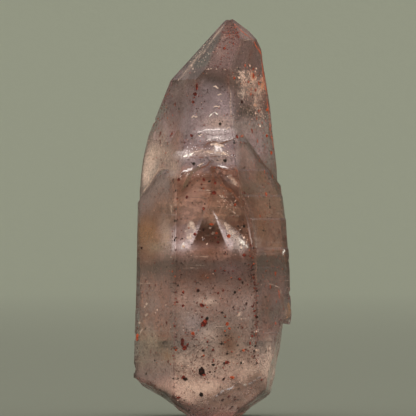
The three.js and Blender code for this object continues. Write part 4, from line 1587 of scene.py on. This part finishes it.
RED_SPECKS = (
    (-1.3, 15.1, 0.9, 1.44, 38), (-4.8, 11.9, 0.48, 1.2, 5), (-4.4, 11.1, 0.8, 0.72, -35),
    (-4.0, 11.6, 0.32, 0.56, 30), (-1.4, 6.9, 0.64, 0.48, 20), (-1.7, 16.0, 0.3, 0.4, 0),
    (-1.4, 37.8, 0.48, 0.56, 0), (0.4, 37.3, 0.48, 0.48, 0), (0.2, 35.7, 0.8, 0.56, 10),
    (-4.1, 35.0, 0.48, 0.48, 0), (-5.4, 37.8, 0.48, 0.48, 0), (5.0, 35.7, 0.48, 0.48, 0),
    (3.8, 44.6, 0.64, 0.64, 30), (-2.8, 29.1, 0.48, 0.48, 0), (-1.4, 33.2, 0.48, 0.48, 0),
    (5.0, 25.8, 0.64, 0.56, 20), (-8.4, 45.1, 0.4, 0.88, 25), (-6.6, 45.0, 0.4, 0.88, 25),
    (-6.0, 49.8, 0.4, 0.64, 0), (-1.7, 17.9, 0.8, 0.48, 20), (-4.7, 17.8, 0.48, 0.4, 0),
    (2.3, 8.8, 0.96, 0.48, -20), (-4.6, 6.4, 0.64, 0.64, 0), (-8.4, 43.7, 0.32, 0.56, 20),
    (-2.8, 51.4, 0.56, 0.48, 0), (-2.5, 52.5, 0.32, 1.12, 5), (6.3, 45.6, 0.4, 0.8, -20),
    (6.3, 13.0, 0.4, 0.4, 0), (6.0, 11.8, 0.32, 0.48, 0), (-7.3, 15.0, 0.4, 0.56, 0),
    (7.6, 2.8, 0.48, 0.4, 0), (8.1, 6.2, 0.32, 0.64, 15), (2.5, 3.5, 0.48, 0.4, 0),
    (-5.4, 3.2, 0.64, 0.32, 0), (-9.2, 5.0, 0.32, 0.32, 0), (-10.0, 5.4, 0.32, 0.4, 0),
    (-3.1, 50.1, 0.48, 0.4, 0),
)
ORANGE_SPECKS = (
    (8.6, 35.4, 0.64, 0.72, 0), (8.7, 44.8, 0.56, 0.48, 0), (9.4, 42.1, 0.56, 0.64, 0),
    (8.7, 49.0, 0.48, 0.48, 0), (8.4, 39.0, 0.32, 0.64, 10), (9.2, 45.9, 0.32, 0.48, 0),
    (7.2, 44.0, 0.32, 0.56, 15), (8.0, 46.9, 0.32, 0.56, -10), (9.8, 38.2, 0.32, 0.64, 0),
    (10.0, 22.8, 0.4, 0.8, 0), (9.2, 20.8, 0.32, 0.72, 0), (7.6, 32.0, 0.32, 0.4, 0),
    (-3.1, 13.4, 0.64, 0.48, 30), (3.1, 6.4, 0.72, 0.4, 15), (2.6, 28.8, 0.64, 0.56, 0),
    (-12.0, 12.6, 0.48, 1.12, 0), (10.2, 18.4, 0.32, 0.48, 0), (10.0, 14.9, 0.48, 0.48, 0),
    (6.5, 54.4, 0.64, 0.8, 0), (2.3, 14.9, 0.48, 0.48, 0), (4.9, 10.7, 0.48, 0.32, 20),
    (0.6, 29.3, 0.48, 0.32, 0), (-0.2, 30.7, 0.8, 0.32, 10), (1.8, 58.6, 0.48, 0.56, 0),
    (5.2, 56.0, 0.4, 0.48, 0), (3.4, 53.9, 0.48, 0.4, 0), (6.2, 52.2, 0.32, 0.48, 0),
    (6.5, 55.4, 0.4, 0.48, 0), (5.7, 53.4, 0.48, 0.4, 30), (6.1, 51.4, 0.48, 0.4, -20),
    (6.9, 52.1, 0.4, 0.48, 20), (7.4, 53.2, 0.32, 0.72, -15), (7.4, 48.8, 0.4, 0.48, 0),
    (7.1, 47.5, 0.32, 0.4, 0),
)
PALE_SPECKS = (
    (6.0, 56.0, 0.4, 0.32, 0), (4.2, 54.0, 0.48, 0.4, 30), (7.0, 55.6, 0.4, 0.32, 0),
    (6.9, 48.4, 0.48, 0.4, 0), (7.6, 46.4, 0.4, 0.48, 20), (0.7, 43.2, 0.4, 0.56, 0),
    (4.6, 27.0, 0.4, 0.4, 0), (5.0, 28.6, 0.32, 0.4, 0), (-4.6, 27.2, 0.48, 0.4, 0),
)
SPECK_COVERED = 0.04
SPECK_FLATNESS = 0.18
SPECK_SWELL = 1.05
SPECK_MARGIN = 0.12


def placed_specks(table):
    """Places just behind the front skin, and half sizes, of the specks in a table."""
    x, height, wide, long, turn = np.array(table).T
    thick = (wide + long) * SPECK_FLATNESS / 2
    places = under_front(x, height, SPECK_COVERED + thick / 2)
    sizes = SPECK_SWELL * np.stack((wide / 2, thick / 2, long / 2), axis=-1)
    return keep_inside(places, SPECK_MARGIN), sizes, turn


# %% Small specks
LOW_BAND = (1.5, 30.0)
HIGH_BAND = (8.0, 60.0)
CROWD_BAND = (1.5, 62.0)
LARGEST_STREWN = 0.42
FEW_LARGE = 6
ANY_TURN = (-90.0, 90.0)
# Shallowest and mean further depth, margin under the skin, and range of oddness in size.
STREWN_DEPTH, STREWN_MARGIN, STREWN_ODDNESS = (0.14, 0.5), 0.25, (0.7, 1.3)
CROWD_DEPTH, CROWD_MARGIN, CROWD_ODDNESS = (0.15, 0.3), 0.12, (0.6, 1.4)
ROW_DEPTH, ROW_MARGIN, ROW_ODDNESS = (0.25, 0.2), 0.2, (0.7, 1.5)
LEAST_STREWN_REACH = 0.1
ROW_SIZES = (0.12, 0.32)
ROW_SPREAD = 0.22
ROW_TURN = (-25.0, 25.0)
ROWS = ((LEFT_ARRIS, 2.0, 38.0), (RIGHT_ARRIS, 8.0, 30.0))
STREWN_PER_ROW = 40


def drawn_depths(draw, shallowest, further, count):
    """The shallowest depth plus an exponential draw, so that most lie near the skin."""
    return shallowest + draw.exponential(further, count)


def drawn_sizes(draw, width, oddness):
    """Half sizes along three axes: the width times a draw for each axis, halved."""
    return width * draw.uniform(*oddness, (len(width), 3)) / 2


def scattered_specks(count, seed, smallest, low_share):
    """Random places under the skin, a share of them low down, with few large and many small."""
    draw = np.random.default_rng(seed)
    turn = draw.uniform(0.0, 360.0, count)
    low = draw.uniform(*LOW_BAND, count)
    high = draw.uniform(*HIGH_BAND, count)
    height = np.where(draw.random(count) < low_share, low, high)
    depth = drawn_depths(draw, *STREWN_DEPTH, count)
    reach = np.clip(skin_at(turn, height) - depth, LEAST_STREWN_REACH, None)
    places = keep_inside(round_axis(turn, reach, height), STREWN_MARGIN)
    width = smallest + (LARGEST_STREWN - smallest) * draw.random(count) ** FEW_LARGE
    sizes = drawn_sizes(draw, width[:, None], STREWN_ODDNESS)
    return places, sizes, draw.uniform(*ANY_TURN, count)


def crowded_specks(crowds, seed, smallest, largest):
    """Tiny specks crowded round middles by x and height, thinning out as a bell curve does."""
    draw = np.random.default_rng(seed)
    rows = np.array(crowds)
    middle_x, middle_height, wide, tall = np.repeat(rows[:, :4], rows[:, 4].astype(int), axis=0).T
    x = draw.normal(middle_x, wide)
    height = np.clip(draw.normal(middle_height, tall), *CROWD_BAND)
    count = len(x)
    depth = drawn_depths(draw, *CROWD_DEPTH, count)
    places = keep_inside(under_front(x, height, depth), CROWD_MARGIN)
    sizes = drawn_sizes(draw, draw.uniform(smallest, largest, (count, 1)), CROWD_ODDNESS)
    return places, sizes, draw.uniform(*ANY_TURN, count)


def specks_along(arris, low, high, count, seed):
    """Small specks in a ragged row along an arris of the front face."""
    draw = np.random.default_rng(seed)
    height = draw.uniform(low, high, count)
    x = read_line(arris, height) + draw.normal(0.0, ROW_SPREAD, count)
    depth = drawn_depths(draw, *ROW_DEPTH, count)
    places = keep_inside(under_front(x, height, depth), ROW_MARGIN)
    sizes = drawn_sizes(draw, draw.uniform(*ROW_SIZES, (count, 1)), ROW_ODDNESS)
    return places, sizes, draw.uniform(*ROW_TURN, count)


def all_specks(name, table, crowds, tiny, count, smallest, low_share, seed, material):
    """The placed specks of one kind, the strewn, the crowded, and the rows along two arrises."""
    groups = [
        placed_specks(table),
        scattered_specks(count, seed, smallest, low_share),
        crowded_specks(crowds, seed + 4, *tiny),
    ]
    for number, row in enumerate(ROWS):
        groups.append(specks_along(*row, count // STREWN_PER_ROW, seed + 2 + number))
    joined = [np.concatenate(column) for column in zip(*groups)]
    speck_piece(name, *joined, seed + 1, material)


# %% Crowds and sets
# Each crowd is x, height, half width, half height, count.
BLACK_CROWDS = (
    (5.0, 48.6, 1.2, 1.0, 170), (3.9, 29.4, 1.6, 1.2, 40), (-7.4, 27.5, 0.9, 1.0, 45),
    (0.0, 40.8, 2.6, 0.5, 60), (-0.5, 12.0, 4.6, 6.5, 560), (-2.2, 57.6, 0.8, 0.9, 130),
    (-0.6, 59.4, 0.6, 0.9, 110), (6.2, 23.6, 0.5, 1.8, 40), (-9.0, 14.0, 1.8, 5.0, 60),
    (3.4, 52.0, 1.0, 2.6, 50), (-8.2, 39.6, 1.2, 1.2, 40),
)
RED_CROWDS = (
    (-0.5, 9.0, 4.2, 5.0, 160), (7.4, 43.0, 1.2, 3.0, 80), (-7.4, 46.0, 1.4, 3.6, 70),
    (3.0, 60.0, 1.0, 1.6, 60), (8.0, 34.0, 1.4, 4.0, 70), (-3.4, 51.6, 0.6, 2.4, 30),
    (8.6, 22.6, 1.4, 2.2, 40), (5.2, 54.0, 1.4, 3.0, 40), (-9.0, 12.0, 1.6, 4.0, 40),
    (0.0, 36.0, 2.6, 2.4, 30), (1.0, 58.0, 1.2, 1.6, 20), (-9.6, 30.0, 1.2, 4.0, 20),
)
ORANGE_CROWDS = (
    (6.6, 53.4, 0.9, 2.2, 50), (7.8, 44.6, 1.0, 3.0, 70), (9.2, 23.0, 1.2, 2.4, 45),
    (3.4, 61.2, 0.8, 1.0, 30), (1.4, 58.4, 0.9, 1.6, 14), (8.4, 36.0, 1.2, 4.0, 60),
    (-7.4, 46.4, 1.2, 3.0, 30),
)
PALE_CROWDS = (
    (4.8, 54.2, 0.9, 0.9, 90), (6.0, 52.8, 1.1, 1.3, 110), (6.9, 50.2, 0.7, 1.8, 110),
    (5.2, 48.8, 1.4, 1.0, 60), (7.2, 47.8, 0.6, 0.8, 40), (-2.2, 57.6, 0.9, 1.1, 130),
    (-0.5, 59.3, 0.6, 0.9, 60), (0.7, 42.9, 1.2, 0.5, 20), (2.8, 34.4, 1.3, 0.6, 44),
    (-8.6, 42.4, 1.2, 1.0, 40), (4.5, 28.2, 0.9, 1.0, 90), (-3.8, 28.4, 0.9, 1.2, 40),
    (4.2, 5.0, 2.0, 0.6, 40),
)
DUST_SIZES = (0.08, 0.17)
GRAIN_SIZES = (0.08, 0.23)
SPECK_SETS = (
    # name, large ones, crowds, their sizes, number strewn, smallest, share low down, seed, finish
    ("black_specks", BLACK_SPECKS, BLACK_CROWDS, DUST_SIZES, 1100, 0.12, 0.6, 11, BLACK_OXIDE),
    ("red_specks", RED_SPECKS, RED_CROWDS, GRAIN_SIZES, 1400, 0.11, 0.45, 21, RED_OXIDE),
    ("orange_specks", ORANGE_SPECKS, ORANGE_CROWDS, GRAIN_SIZES, 240, 0.16, 0.15, 31, ORANGE_RUST),
    ("pale_crumbs", PALE_SPECKS, PALE_CROWDS, DUST_SIZES, 160, 0.12, 0.4, 41, PALE_CRUMBS),
)

for speck_set in SPECK_SETS:
    all_specks(*speck_set)
